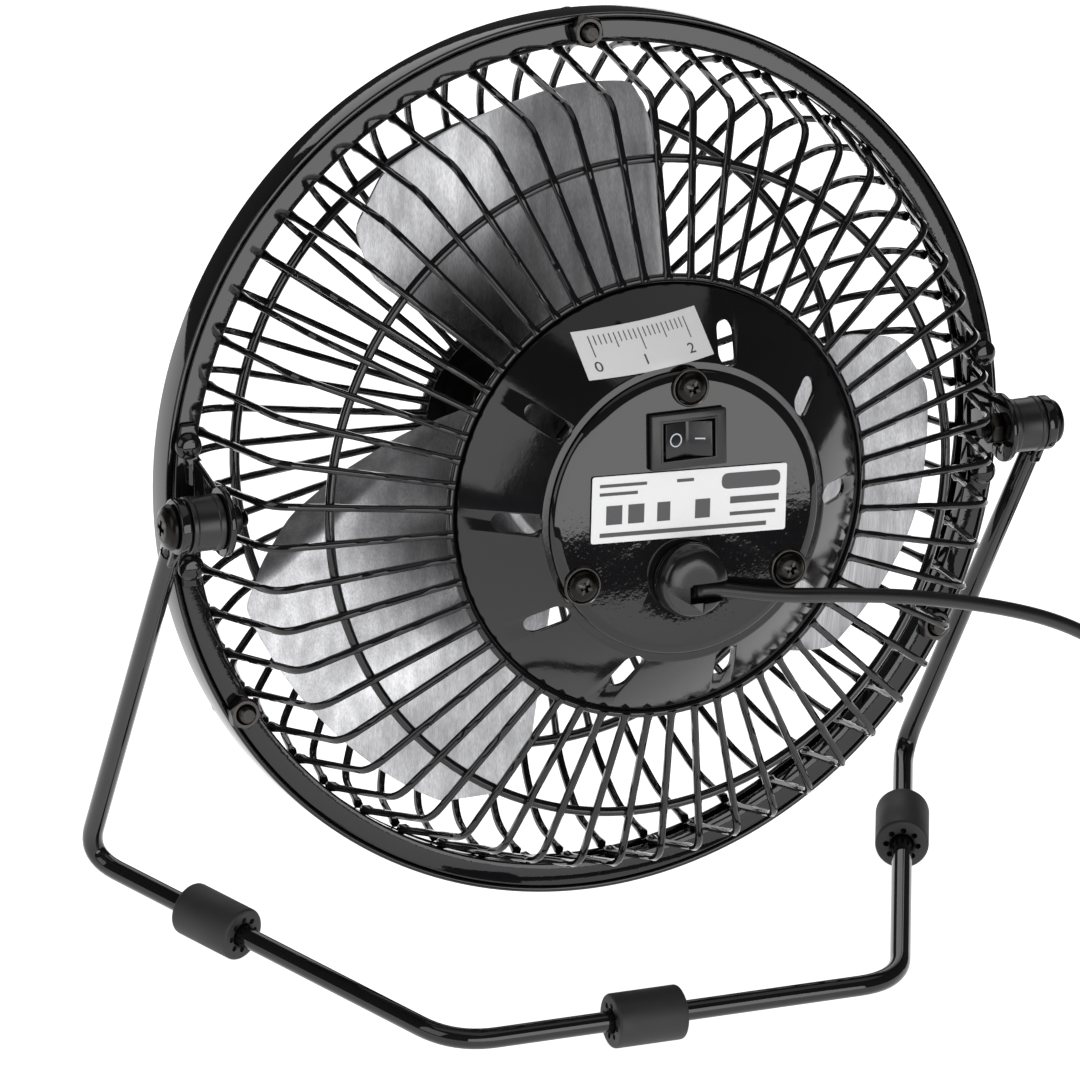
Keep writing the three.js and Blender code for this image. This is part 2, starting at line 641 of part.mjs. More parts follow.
/** Plastic holder: a flange behind the plate's opening and a sleeve round the motor. */
function motorHolder() {
  const flangeY = PLATE_FACE_Y + PLATE_SHEET + GAP;
  const bore = MOTOR_RADIUS + GAP;
  const sleeve = turned([
    [bore, flangeY], [24.5, flangeY], [24.5, flangeY + 1.2], [bore + 1.6, flangeY + 1.2],
    [bore + 1.6, -24], [bore, -24],
  ], 24);
  const [bodyWidth, bodyHeight] = SWITCH_BODY;
  const forSwitch = block(-bodyWidth / 2 - 1, bodyWidth / 2 + 1, -46, -33, SWITCH_Z - bodyHeight / 2 - 1,
    SWITCH_Z + bodyHeight / 2 + 1);
  const forGrip = rod(GRIP_RADIUS, -46, -38, 16).translate(0, 0, GRIP_Z);
  return joined(sleeve, [], [forSwitch, forGrip]);
}
piece("motor_holder", motorHolder(), blackPlastic, head);

/** Internal leads: from the switch and the cord grip to the motor's back. */
const leads = [
  ["lead_switch_to_motor", [[-3, -36.8, 12.2], [-3.4, -37.2, 10], [-4, -36.4, 7], [-4, -35.4, 5.2]]],
  ["lead_cord_to_switch", [
    [1.5, -41.8, -10], [6, -41.6, -6], [7, -41, 0], [5, -39.5, 6], [3.6, -37.3, 10], [3, -36.8, 12.2],
  ]],
];
for (const [name, points] of leads) {
  piece(name, bar(points.map((at) => v3(...at)), 0.6, 6), copperLead, head);
}

// ---- impeller -----------------------------------------------------------------------------------------
const HUB_RADIUS = 9;
const HUB_BACK = -7.6;
const HUB_FRONT = 8;

/** Outline of one blade that points up, seen from behind: broad, with one nearly straight edge. */
function bladeOutline() {
  const points = [[20, 9], [24.5, 24], [26.5, 38], [26.5, 50], [23.5, 60]];
  for (let turn = 74; turn <= 120; turn += 11.5) points.push(polar(BLADE_RADIUS, turn));
  return [...points, [-40.5, 52], [-38, 42], [-28, 32], [-14, 18], [-9, 6]];
}

function impeller() {
  const blades = [];
  for (let i = 0; i < BLADES; i += 1) {
    const blade = plate(bladeOutline(), -BLADE_SHEET / 2, BLADE_SHEET / 2);
    blade.rotateZ(radians(-BLADE_PITCH)).translate(0, 3.4, 0);
    blades.push(blade.rotateY(-radians(BLADE_LEAD + (360 / BLADES) * i)));
  }
  const boss = turned([
    [HUB_RADIUS + GAP, -3], [19, -3], [19, 7], [HUB_RADIUS + GAP, 7],
  ], 24);
  const bore = rod(HUB_RADIUS + GAP, -20, 30, 24);
  return joined(boss, blades, [bore]);
}
piece("fan_blades", impeller(), aluminium, head);
piece("blade_hub", turned([
  [SHAFT_RADIUS + GAP, HUB_BACK], [HUB_RADIUS, HUB_BACK], [HUB_RADIUS, HUB_FRONT],
  [HUB_RADIUS - 2, HUB_FRONT + 1.2], [SHAFT_RADIUS + GAP, HUB_FRONT + 1.2],
], 20), blackPlastic, head);
piece("motor_shaft", rod(SHAFT_RADIUS, MOTOR_FRONT - 7, HUB_FRONT + 4, 10), plainSteel, head);
piece("shaft_collar", turned([
  [SHAFT_RADIUS + GAP, HUB_FRONT + 1.5], [3.2, HUB_FRONT + 1.5], [3.2, HUB_FRONT + 4.2],
  [SHAFT_RADIUS + GAP, HUB_FRONT + 4.2],
], 12), brass, head);

// ---- cord ----------------------------------------------------------------------------------------------
/** From the cord grip: out to the right, then down to the coil on the table. */
const leadRoute = [
  [0.4, -37.2, 88.6], [4.4, -37.3, 88.5], [9, -37.6, 87.6], [14, -37.9, 86.6], [20.4, -38.1, 85.6],
  [31, -38, 84.2], [42, -37.8, 82.4], [53, -37.5, 79.9], [64, -37.2, 76.8], [73.6, -36.8, 73.2],
  [82, -36.4, 68.8], [89.3, -35.8, 63.3], [95.3, -35, 56.8], [100.2, -34, 49.5], [104.2, -33, 41.7],
  [107.7, -31.9, 33.8], [111, -30.8, 25.9], [114.6, -29.5, 18.4], [119, -28.2, 11.9], [124.6, -26.9, 7],
];
/** From the coil's far side to the plug. */
const tailRoute = [
  [158.2, 2, 2.9], [158.9, 6, 3.2], [160, 10, 3.6], [161.4, 14, 3.9], [162.3, 18, 3.9],
];
const cordTube = (route) => {
  const curve = new THREE.CatmullRomCurve3(route.map((at) => v3(...at)));
  return bar(curve.getSpacedPoints(Math.round(curve.getLength() / (2.6 * CORD))), CORD / 2, 8);
};
piece("cord_lead", cordTube(leadRoute), cordSkin, fan);
piece("cord_tail", cordTube(tailRoute), cordSkin, fan);

const flat = (geometry) => geometry.rotateX(Math.PI / 2); // Y-axis shapes stood up on Z
const coilHalf = COIL_WIDTH / 2;
const coilTop = COIL_BOTTOM + COIL_HEIGHT;
const coil = flat(turned([
  [COIL_RADIUS - coilHalf, COIL_BOTTOM + 1.5], [COIL_RADIUS - coilHalf + 1.5, COIL_BOTTOM],
  [COIL_RADIUS + coilHalf - 1.5, COIL_BOTTOM], [COIL_RADIUS + coilHalf, COIL_BOTTOM + 1.5],
  [COIL_RADIUS + coilHalf, coilTop - 1.5], [COIL_RADIUS + coilHalf - 1.5, coilTop],
  [COIL_RADIUS - coilHalf + 1.5, coilTop], [COIL_RADIUS - coilHalf, coilTop - 1.5],
], 24));
piece("cord_coil", coil.translate(COIL_CENTRE[0], COIL_CENTRE[1], 0), cordSkin, fan);

/** Hook-and-loop band round one side of the coil, a little wider on the coil's inside. */
function cordTie() {
  const length = 7;
  const wall = 0.8;
  const [low, high] = [COIL_BOTTOM - GAP, coilTop + GAP];
  const [near, far] = [-coilHalf - 3 * GAP, coilHalf + GAP];
  const outer = block(near - wall, far + wall, -length / 2, length / 2, low - wall, high + wall);
  const inner = block(near, far, -length, length, low, high);
  const turn = radians(120);
  const x = COIL_CENTRE[0] + COIL_RADIUS * Math.cos(turn);
  const y = COIL_CENTRE[1] + COIL_RADIUS * Math.sin(turn);
  return joined(outer, [], [inner]).rotateZ(turn).translate(x, y, 0);
}
piece("cord_tie", cordTie(), blackRubber, fan);

/** USB plug that lies on the table and points away from the coil, towards +Y. */
const PLUG_START = 18 + GAP;
const PLUG_X = 162.3;
const plugBlock = (width, height, from, to) =>
  block(-width / 2, width / 2, from, to, -height / 2, height / 2).translate(PLUG_X, PLUG_START, PLUG_Z);
const relief = rod(2.3, 0, 7, 12).translate(PLUG_X, PLUG_START, PLUG_Z);
const moulding = plugBlock(15.4, 7.8, 6.5, 28);
const socket = plugBlock(12.6, 5.1, 24, 30);
piece("usb_plug_body", joined(relief, [moulding], [socket]), blackPlastic, fan);
const shell = plugBlock(12, 4.5, 24.5, 40);
const mouth = plugBlock(11.4, 3.9, 26, 42);
piece("usb_plug_shell", joined(shell, [], [mouth]), plainSteel, fan);
piece("usb_plug_tongue", plugBlock(10.8, 1.4, 26.4, 39).translate(0, 0, -0.9), blackPlastic, fan);

export default fan;
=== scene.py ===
# %% [markdown]
# # A small desk fan, built around its CAD frame
# This lesson dresses a imported CAD model of a USB desk fan. The CAD part says where everything is and
# what moves; here each visible piece is modelled again in finer detail. The fan has four bodies: the
# **stand** of bent rod, the **head** that tilts in it, the **rotor** that spins in the head, and the
# **rocker** of the switch.

# %% Load the frame
import json
import math
import bpy
from mathutils import Matrix, Vector


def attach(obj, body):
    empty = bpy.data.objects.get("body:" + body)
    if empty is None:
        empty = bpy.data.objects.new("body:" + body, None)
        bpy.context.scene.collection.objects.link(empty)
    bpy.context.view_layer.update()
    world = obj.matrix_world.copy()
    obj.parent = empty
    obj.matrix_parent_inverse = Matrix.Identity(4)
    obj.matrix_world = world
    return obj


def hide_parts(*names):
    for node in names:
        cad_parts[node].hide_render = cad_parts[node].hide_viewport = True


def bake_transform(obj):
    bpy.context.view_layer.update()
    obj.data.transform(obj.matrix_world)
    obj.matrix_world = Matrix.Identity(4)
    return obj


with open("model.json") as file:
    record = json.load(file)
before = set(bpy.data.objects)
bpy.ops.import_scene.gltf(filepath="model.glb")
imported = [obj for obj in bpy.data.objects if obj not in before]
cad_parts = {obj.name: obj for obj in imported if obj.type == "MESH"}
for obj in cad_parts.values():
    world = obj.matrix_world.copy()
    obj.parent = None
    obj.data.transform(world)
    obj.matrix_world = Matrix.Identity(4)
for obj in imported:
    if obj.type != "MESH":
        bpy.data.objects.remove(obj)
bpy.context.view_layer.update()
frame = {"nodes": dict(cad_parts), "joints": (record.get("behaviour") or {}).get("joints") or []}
joints = {joint["name"]: joint for joint in frame["joints"]}

# %% [markdown]
# ## Units and two ways to place a piece
# Blender works in metres and a fan is drawn in millimetres, so every size is multiplied by `mm`.
# The head is tilted by about twelve degrees. Drawing tilted pieces is a chore, so they are drawn
# upright in the head's own axes (x to the right seen from behind, y forward along the shaft, z up the
# ring) and then seated with one matrix, made from the place and direction of the fan's spin axis.

# %% Units and the head's own axes
mm = 0.001
tau = 2 * math.pi
spin_axis = Vector(joints["fan_spin"]["axis"]).normalized()
shaft_place = Vector(joints["fan_spin"]["pos_m"])
head_tilt = math.atan2(spin_axis.z, spin_axis.y)
head_seat = Matrix.Translation(shaft_place) @ Matrix.Rotation(head_tilt, 4, "X")
upright = Matrix.Identity(4)
print("the head is tilted by", round(math.degrees(head_tilt), 1), "degrees")

# %% [markdown]
# ## The camera
# A long lens from behind, above and a little to the left keeps the rings nearly round. It is set up
# before anything else, because where the cord leaves the view decides where its spare length is coiled.

# %% Camera
camera_place = Vector((-738.6, -1571.7, 940.7)) * mm
camera_turn = math.radians(-24.73)
camera_down = math.radians(26.37)
camera_roll = math.radians(4.56)
camera_seat = (Matrix.Rotation(camera_turn, 4, "Z")
               @ Matrix.Rotation(math.pi / 2 - camera_down, 4, "X")
               @ Matrix.Rotation(camera_roll, 4, "Z"))
bpy.ops.object.camera_add(location=camera_place, rotation=camera_seat.to_euler())
camera = bpy.context.object
camera.name = "studio_camera"
camera.data.lens = 345.45
camera.data.sensor_width = 36
camera.data.clip_start = 0.1
bpy.context.scene.camera = camera
print("camera stands", round(camera_place.length, 2), "m from the fan's foot")

# %% [markdown]
# ## Helpers for a maker by hand
# Three small habits are used again and again, so they get names. `start_edit` and `stop_edit` open and
# close edit mode on one object, with everything deselected first. `finished` closes a piece: it seats
# the piece in the row frame, bakes that place into the mesh, smooths it, and hands it to its body.

# %% Editing helpers
def only(piece):
    """Select one object and nothing else."""
    bpy.ops.object.select_all(action="DESELECT")
    piece.select_set(True)
    bpy.context.view_layer.objects.active = piece
    return piece


def start_edit(piece=None):
    """Open edit mode on a piece, with nothing selected."""
    only(piece or bpy.context.object)
    bpy.ops.object.mode_set(mode="EDIT")
    bpy.ops.mesh.select_all(action="DESELECT")


def stop_edit():
    bpy.ops.object.mode_set(mode="OBJECT")
    return bpy.context.object


def clean_faces(join_distance=0.00001):
    """In edit mode: merge doubled points and turn every face outwards."""
    bpy.ops.mesh.select_all(action="SELECT")
    bpy.ops.mesh.remove_doubles(threshold=join_distance)
    bpy.ops.mesh.normals_make_consistent(inside=False)


def finished(piece, name, body, finish, stands_for=(), seat=None, crease=35):
    """Seat a piece in the row frame, smooth it, paint it and hand it to its body."""
    only(piece)
    bpy.ops.object.transform_apply(location=True, rotation=True, scale=True)
    piece.data.transform(head_seat if seat is None else seat)
    bpy.ops.object.shade_smooth_by_angle(angle=math.radians(crease))
    piece.name = piece.data.name = name
    piece.data.materials.clear()
    piece.data.materials.append(finish)
    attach(piece, body)
    if stands_for:
        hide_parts(*stands_for)
    print(f"{name}: {len(piece.data.polygons)} faces on {body}")
    return piece


def copy_of(piece, move=None):
    """A copy with its own mesh, moved by a matrix."""
    other = piece.copy()
    other.data = piece.data.copy()
    bpy.context.collection.objects.link(other)
    if move is not None:
        other.data.transform(move)
    return other


def joined(pieces):
    """Several pieces made one, for shapes that are welded or moulded together."""
    bpy.ops.object.select_all(action="DESELECT")
    for piece in pieces:
        piece.select_set(True)
    bpy.context.view_layer.objects.active = pieces[0]
    bpy.ops.object.join()
    return bpy.context.object


def about_y(degrees):
    """A turn about the shaft, counter-clockwise as seen from behind."""
    return Matrix.Rotation(-math.radians(degrees), 4, "Y")

# %% [markdown]
# ## Drawing lines
# Wires, turned rings and cut sheets all start as a line. One vertex is placed and extruded from point to
# point, just as with the E key. `softened` rounds the corners of a line first, because pressed sheet and
# bent wire never have sharp ones, and because a rounded edge is what catches the light.

# %% Lines with soft corners
def softened(points, reach, steps=4, closed=True):
    """Replace each corner by a short curve that starts and ends `reach` away from it."""
    line = [Vector(point) for point in points]
    result = []
    for i, corner in enumerate(line):
        if not closed and i in (0, len(line) - 1):
            result.append(corner)
            continue
        back = line[i - 1] - corner
        on = line[(i + 1) % len(line)] - corner
        amount = min(reach, 0.45 * back.length, 0.45 * on.length)
        first = corner + back.normalized() * amount
        last = corner + on.normalized() * amount
        for k in range(steps + 1):
            t = k / steps
            result.append((1 - t) ** 2 * first + 2 * t * (1 - t) * corner + t * t * last)
    return result


def drawn(points, closed=True, filled=False):
    """One vertex, extruded from point to point in millimetres."""
    places = [Vector(point) * mm for point in points]
    if closed and not filled:
        places.append(places[0])
    bpy.ops.object.select_all(action="DESELECT")
    bpy.ops.mesh.primitive_plane_add(size=mm, location=places[0])
    bpy.ops.object.mode_set(mode="EDIT")
    bpy.ops.mesh.merge(type="CENTER")
    for before, after in zip(places, places[1:]):
        bpy.ops.mesh.extrude_region_move(TRANSFORM_OT_translate={"value": after - before})
    bpy.ops.mesh.select_all(action="SELECT")
    if filled:
        bpy.ops.mesh.edge_face_add()
    else:
        bpy.ops.mesh.remove_doubles(threshold=0.01 * mm)
    bpy.ops.object.mode_set(mode="OBJECT")
    bpy.ops.object.transform_apply(location=True, rotation=True, scale=True)
    return bpy.context.object


def extruded(outline, move):
    """A filled outline pulled straight along a move, both in millimetres."""
    piece = drawn(outline, filled=True)
    start_edit(piece)
    bpy.ops.mesh.select_all(action="SELECT")
    bpy.ops.mesh.extrude_region_move(TRANSFORM_OT_translate={"value": Vector(move) * mm})
    clean_faces()
    return stop_edit()


def turned(outline, soft=0.0, steps=96, closed=True):
    """A shape turned on a lathe about the shaft. The outline is (radius, y) pairs."""
    flat = [(radius, y, 0) for radius, y in outline]
    if soft:
        flat = softened(flat, soft, closed=closed)
    piece = drawn(flat, closed=closed)
    start_edit(piece)
    bpy.ops.mesh.select_all(action="SELECT")
    bpy.ops.mesh.spin(steps=steps, angle=tau, center=(0, 0, 0), axis=(0, 1, 0))
    clean_faces()
    return stop_edit()


def knob(outline, soft=0.0, steps=32):
    """A turned solid whose outline starts and ends on the axis."""
    return turned(outline, soft, steps, closed=False)


def cut_sheet(outline, thick, soft=0.0, level=0.0):
    """A sheet cut to an (x, z) outline, from y = level forwards, with corners rounded by `soft`."""
    flat = [(x, level, z) for x, z in outline]
    if soft:
        flat = softened(flat, soft)
    return extruded(flat, (0, thick, 0))


def eased(piece, width, segments=2, angle=40):
    """A bevel on every sharp edge, as tumbling or thick paint leaves it."""
    only(piece)
    bevel = piece.modifiers.new("eased edges", "BEVEL")
    bevel.width = width * mm
    bevel.segments = segments
    bevel.angle_limit = math.radians(angle)
    bevel.harden_normals = False
    bpy.ops.object.modifier_apply(modifier=bevel.name)
    return piece


def carved(piece, tools, way="DIFFERENCE"):
    """Cut, join or meet with other solids one after another, putting each tool away."""
    for tool in tools:
        only(piece)
        cut = piece.modifiers.new("cut", "BOOLEAN")
        cut.object = tool
        cut.operation = way
        cut.solver = "EXACT"
        bpy.ops.object.modifier_apply(modifier=cut.name)
        bpy.data.objects.remove(tool)
    return piece


def box_solid(low, high):
    """A box between two corners in millimetres: a blank to cut with or to shape further."""
    low, high = Vector(low), Vector(high)
    bpy.ops.object.select_all(action="DESELECT")
    bpy.ops.mesh.primitive_cube_add(size=1, location=(low + high) / 2 * mm, scale=(high - low) * mm)
    bpy.ops.object.transform_apply(location=True, rotation=True, scale=True)
    return bpy.context.object


def drill(x, z, radius, low, high, sides=32):
    """A round cutter along the shaft direction, at (x, z)."""
    bpy.ops.object.select_all(action="DESELECT")
    bpy.ops.mesh.primitive_cylinder_add(vertices=sides, radius=radius * mm, depth=(high - low) * mm,
                                        location=(x * mm, (low + high) / 2 * mm, z * mm),
                                        rotation=(math.pi / 2, 0, 0))
    bpy.ops.object.transform_apply(location=True, rotation=True, scale=True)
    return bpy.context.object


def swept(points, thick, sides=12, widths=None):
    """A round bar along a line of points in metres; widths can swell it at some of them."""
    curve = bpy.data.curves.new("swept", "CURVE")
    curve.dimensions = "3D"
    curve.bevel_depth = thick / 2
    curve.bevel_resolution = max(1, sides // 4 - 1)
    curve.use_fill_caps = True
    spline = curve.splines.new("POLY")
    spline.points.add(len(points) - 1)
    for i, point in enumerate(points):
        spline.points[i].co = (*point, 1)
        spline.points[i].radius = widths[i] if widths else 1
    piece = bpy.data.objects.new("swept", curve)
    bpy.context.collection.objects.link(piece)
    only(piece)
    bpy.ops.object.convert(target="MESH")
    start_edit()
    clean_faces()
    return stop_edit()


def ring(radius, y, thick, steps=168, sides=12):
    """A wire ring round the shaft, in millimetres."""
    bpy.ops.object.select_all(action="DESELECT")
    bpy.ops.mesh.primitive_torus_add(major_radius=radius * mm, minor_radius=thick / 2 * mm,
                                     major_segments=steps, minor_segments=sides,
                                     location=(0, y * mm, 0), rotation=(math.pi / 2, 0, 0))
    bpy.ops.object.transform_apply(location=True, rotation=True, scale=True)
    return bpy.context.object

# %% [markdown]
# ## Finishes
# Sixteen finishes cover the fan. Each is a small node tree on Object coordinates, so a pattern keeps its
# size in millimetres whatever the piece. Real gloss paint is not flat black: it has orange peel, a faint
# ripple a millimetre or two across, which breaks up the edge of every reflection. Values that are the
# same all over a surface are typed straight into the shader.

# %% A workbench for node trees
class Finish:
    """A material and short ways to add nodes to it."""

    def __init__(self, name, slot, **settings):
        self.material = bpy.data.materials.new(name)
        self.material["slot"] = slot
        self.material.use_nodes = True
        self.tree = self.material.node_tree
        self.shader = self.tree.nodes["Principled BSDF"]
        self.place = self.tree.nodes.new("ShaderNodeTexCoord").outputs["Object"]
        for socket, value in settings.items():
            self.shader.inputs[socket.replace("_", " ")].default_value = value

    def node(self, kind, inputs=None, **settings):
        made = self.tree.nodes.new("ShaderNode" + kind)
        for key, value in settings.items():
            setattr(made, key, value)
        for socket, value in (inputs or {}).items():
            if isinstance(value, bpy.types.NodeSocket):
                self.tree.links.new(value, made.inputs[socket])
            else:
                made.inputs[socket].default_value = value
        return made

    def stretched(self, turn, scale):
        """The place on the piece, turned and stretched for a pattern with a direction."""
        made = self.node("Mapping", {"Vector": self.place, "Rotation": turn, "Scale": scale})
        return made.outputs["Vector"]

    def noise(self, size, detail=2.0, rough=0.5, at=None):
        """Soft noise with blobs of about `size` millimetres."""
        made = self.node("TexNoise", {"Vector": at or self.place, "Scale": 1 / (size * mm),
                                      "Detail": detail, "Roughness": rough})
        return made.outputs["Fac"]

    def span(self, value, low, high, start=0.0, end=1.0):
        """Stretch start..end of a value to low..high."""
        made = self.node("MapRange", {"Value": value, "From Min": start, "From Max": end,
                                      "To Min": low, "To Max": high})
        return made.outputs["Result"]

    def blend(self, share, first, second):
        """Mix two colours by a share."""
        made = self.node("Mix", data_type="RGBA")
        self.tree.links.new(share, made.inputs["Factor"])
        for socket, value in ((6, first), (7, second)):
            if isinstance(value, bpy.types.NodeSocket):
                self.tree.links.new(value, made.inputs[socket])
            else:
                made.inputs[socket].default_value = (*value, 1)
        return made.outputs[2]

    def bumps(self, heights):
        """Bumps laid over each other: (height, depth in millimetres) pairs."""
        normal = None
        for height, depth in heights:
            made = self.node("Bump", {"Height": height, "Strength": 1.0, "Distance": depth * mm})
            if normal is not None:
                self.tree.links.new(normal, made.inputs["Normal"])
            normal = made.outputs["Normal"]
        self.to("Normal", normal)

    def to(self, socket, value):
        self.tree.links.new(value, self.shader.inputs[socket])
        return self


def grey(level):
    return (level, level, level)

# %% [markdown]
# ### Paint
# The enamel is nearly black and very smooth. Its colour hardly matters; its surface does. A wide, weak
# swell bends reflections, a finer ripple frays their edges, and a few dust specks stand proud.

# %% Gloss enamel
def enamel(name, ripple=1.0, roughness=0.035, tint=(0.0042, 0.0042, 0.0048)):
    made = Finish(name, "gloss_black_paint", Roughness=roughness, IOR=1.48)
    swell = made.noise(6.5, 1.0)
    peel = made.noise(1.15, 2.0, 0.55)
    specks = made.span(made.noise(0.55, 0.0), 0, 1, 0.72, 0.8)
    dust = made.noise(11, 3.0, 0.6)
    made.to("Base Color", made.blend(dust, tint, tuple(1.7 * part for part in tint)))
    made.to("Roughness", made.span(dust, roughness * 0.75, roughness * 1.5, 0.3, 0.7))
    made.bumps([(swell, 0.009 * ripple), (peel, 0.005 * ripple), (specks, 0.0012 * ripple)])
    return made.material


gloss_paint = enamel("ring_paint")
cover_paint = enamel("cover_paint", roughness=0.025)
plate_paint = enamel("plate_paint", ripple=1.5, roughness=0.09)
print("paint mixed:", gloss_paint.name, cover_paint.name, plate_paint.name)

# %% [markdown]
# ### Plastics and rubber
# The switch, grip and hub are moulded black plastic with a fine spark-eroded grain. The feet are
# extruded rubber: matte, greyer, with dust in the grain. The cord's skin lies between the two.

# %% Plastic, rubber and cord skin
def moulded(name, slot, level, roughness, grain, depth, dusty=0.3, tint=None):
    """Grained plastic or rubber of a grey level, or of a tint, with clouds of dust."""
    made = Finish(name, slot, Roughness=roughness, IOR=1.48)
    fine = made.noise(grain, 2.0, 0.6)
    cloud = made.noise(grain * 22, 3.0, 0.6)
    share = made.span(cloud, 0, 1, 0.35, 0.75)
    made.to("Base Color", made.blend(share, tint or grey(level), grey(level * (1 + dusty))))
    made.to("Roughness", made.span(cloud, roughness * 0.85, roughness * 1.12, 0.3, 0.7))
    made.bumps([(fine, depth)])
    return made.material


black_plastic = moulded("grained_plastic", "black_plastic", 0.008, 0.34, 0.22, 0.006)
shiny_plastic = moulded("polished_plastic", "black_plastic", 0.006, 0.2, 0.5, 0.005)
black_rubber = moulded("foot_rubber", "black_rubber", 0.012, 0.62, 0.3, 0.012, dusty=0.7)
cord_skin = moulded("cord_sheath", "cord_skin", 0.007, 0.36, 0.5, 0.004)
print("mouldings:", black_plastic.name, black_rubber.name, cord_skin.name)

# %% [markdown]
# ### Metals
# The blades are brushed aluminium. Brushing is thousands of fine parallel scratches, so the noise is
# stretched fiftyfold along one direction, and drives both the roughness and a shallow bump; slow
# clouds of grease and oxide dull it here and there. Screws are blackened steel, worn bright on edges.

# %% Aluminium and steel
def brushed(name, turn, tint, roughness):
    made = Finish(name, "aluminium_sheet", Metallic=1.0, Roughness=roughness, Anisotropic=0.35)
    along = made.stretched(turn=turn, scale=(1, 1, 0.02))
    fine = made.noise(0.22, 3.0, 0.65, at=along)
    broad = made.noise(2.4, 2.0, 0.6, at=made.stretched(turn=turn, scale=(1, 1, 0.09)))
    cloud = made.noise(16, 3.0, 0.55)
    shade = made.blend(made.span(broad, 0, 1, 0.3, 0.7), tuple(0.62 * part for part in tint), tint)
    scratch = tuple(0.4 * part for part in tint)
    made.to("Base Color", made.blend(made.span(fine, 0, 0.7, 0.35, 0.7), shade, scratch))
    made.to("Roughness", made.span(cloud, roughness * 0.8, roughness * 1.3, 0.3, 0.7))
    made.bumps([(fine, 0.006), (broad, 0.01)])
    return made.material


def steel(name, slot, tint, roughness, worn):
    """Turned or plated steel whose edges are rubbed brighter."""
    made = Finish(name, slot, Metallic=1.0, Roughness=roughness)
    edge = made.node("NewGeometry").outputs["Pointiness"]
    fine = made.noise(0.35, 3.0, 0.6)
    rubbed = made.span(edge, 0, 1, 0.52, 0.6)
    made.to("Base Color", made.blend(rubbed, tint, worn))
    made.to("Roughness", made.span(fine, roughness * 0.8, roughness * 1.25, 0.3, 0.7))
    made.bumps([(fine, 0.006)])
    return made.material


aluminium = brushed("brushed_aluminium", (0, 0.35, 0), (0.62, 0.62, 0.64), 0.33)
dark_steel = steel("blackened_steel", "dark_steel", (0.02, 0.019, 0.018), 0.3, (0.06, 0.056, 0.054))
worn_steel = steel("worn_steel", "dark_steel", (0.05, 0.045, 0.042), 0.3, (0.5, 0.42, 0.38))
plain_steel = steel("zinc_steel", "plain_steel", (0.56, 0.55, 0.53), 0.26, (0.75, 0.74, 0.72))
brass = steel("turned_brass", "brass_collar", (0.63, 0.46, 0.2), 0.28, (0.8, 0.63, 0.34))
print("metals:", aluminium.name, dark_steel.name, plain_steel.name, brass.name)

# %% [markdown]
# ### Paper, print and wire
# The stickers are coated paper, barely off-white, with soft fibre. Print is a separate thin layer.

# %% Paper, ink and insulation
def coated_paper(name, tint, roughness):
    made = Finish(name, "white_paper", Roughness=roughness, IOR=1.45)
    fibre = made.noise(0.5, 4.0, 0.7)
    made.to("Base Color", made.blend(fibre, tint, tuple(0.95 * part for part in tint)))
    made.bumps([(fibre, 0.004)])
    return made.material


white_paper = coated_paper("sticker_paper", (0.82, 0.82, 0.82), 0.42)
grey_ink = coated_paper("grey_ink", (0.07, 0.07, 0.074), 0.45)
white_ink = coated_paper("white_ink", (0.55, 0.6, 0.66), 0.5)
red_insulation = moulded("red_wire", "red_insulation", 0.2, 0.4, 0.4, 0.003, tint=(0.34, 0.015, 0.01))
print("stickers and wire:", white_paper.name, grey_ink.name, red_insulation.name)

# %% [markdown]
# ## The cord
# A thin lead leaves the grip on the motor cover, sags to the table and carries on to a plug.
# A curve with a round bevel would do, but the lead has to bend with the head and only a mesh can. So the
# route is a list of points, a smooth curve is drawn through them, and a round bar is swept along it.

# %% The lead's route
cord_thick = 2.8
lead_route = [
    (0.4, -37.2, 88.6), (4.4, -37.3, 88.5), (9, -37.6, 87.6), (14, -37.9, 86.6), (20.4, -38.1, 85.6),
    (31, -38, 84.2), (42, -37.8, 82.4), (53, -37.5, 79.9), (64, -37.2, 76.8), (73.6, -36.8, 73.2),
    (82, -36.4, 68.8), (89.3, -35.8, 63.3), (95.3, -35, 56.8), (100.2, -34, 49.5), (104.2, -33, 41.7),
    (107.7, -31.9, 33.8), (111, -30.8, 25.9), (114.6, -29.5, 18.4), (119, -28.2, 11.9), (124.6, -26.9, 8),
    (130.6, -25.6, 7.2),
]
tail_route = [(158.5, 1.6, 1.6), (159.3, 6, 2.2), (160.4, 10, 3.1), (161.5, 14, 3.8), (162.2, 17.6, 3.9)]

# %% [markdown]
# The spare length is wound into a neat coil of nine turns, three side by side and three high. A turn
# keeps its lane for most of the way round and then moves over or down by one lane in a short stretch.
# Each stretch starts a little before the last one, so no two turns are ever in the same place. Where the
# tie passes underneath, the whole coil lies a little higher.

# %% The coil and the whole centre line
coil_middle = Vector((138, -6, 0))
coil_lanes = (18.95, 16.0, 13.05)
coil_layers = (1.45, 4.3, 7.15)
lane_order = [(2, 0), (1, 0), (1, 1), (2, 1), (2, 2), (1, 2), (0, 2), (0, 1), (0, 0)]
coil_start, coil_end = -86, 2 + 360 * 7
turn_share = 280
shift_half = 36
tie_angle, tie_lift = 120, 1.15
first_shift = (coil_start + coil_end) / 2 - 3.5 * turn_share


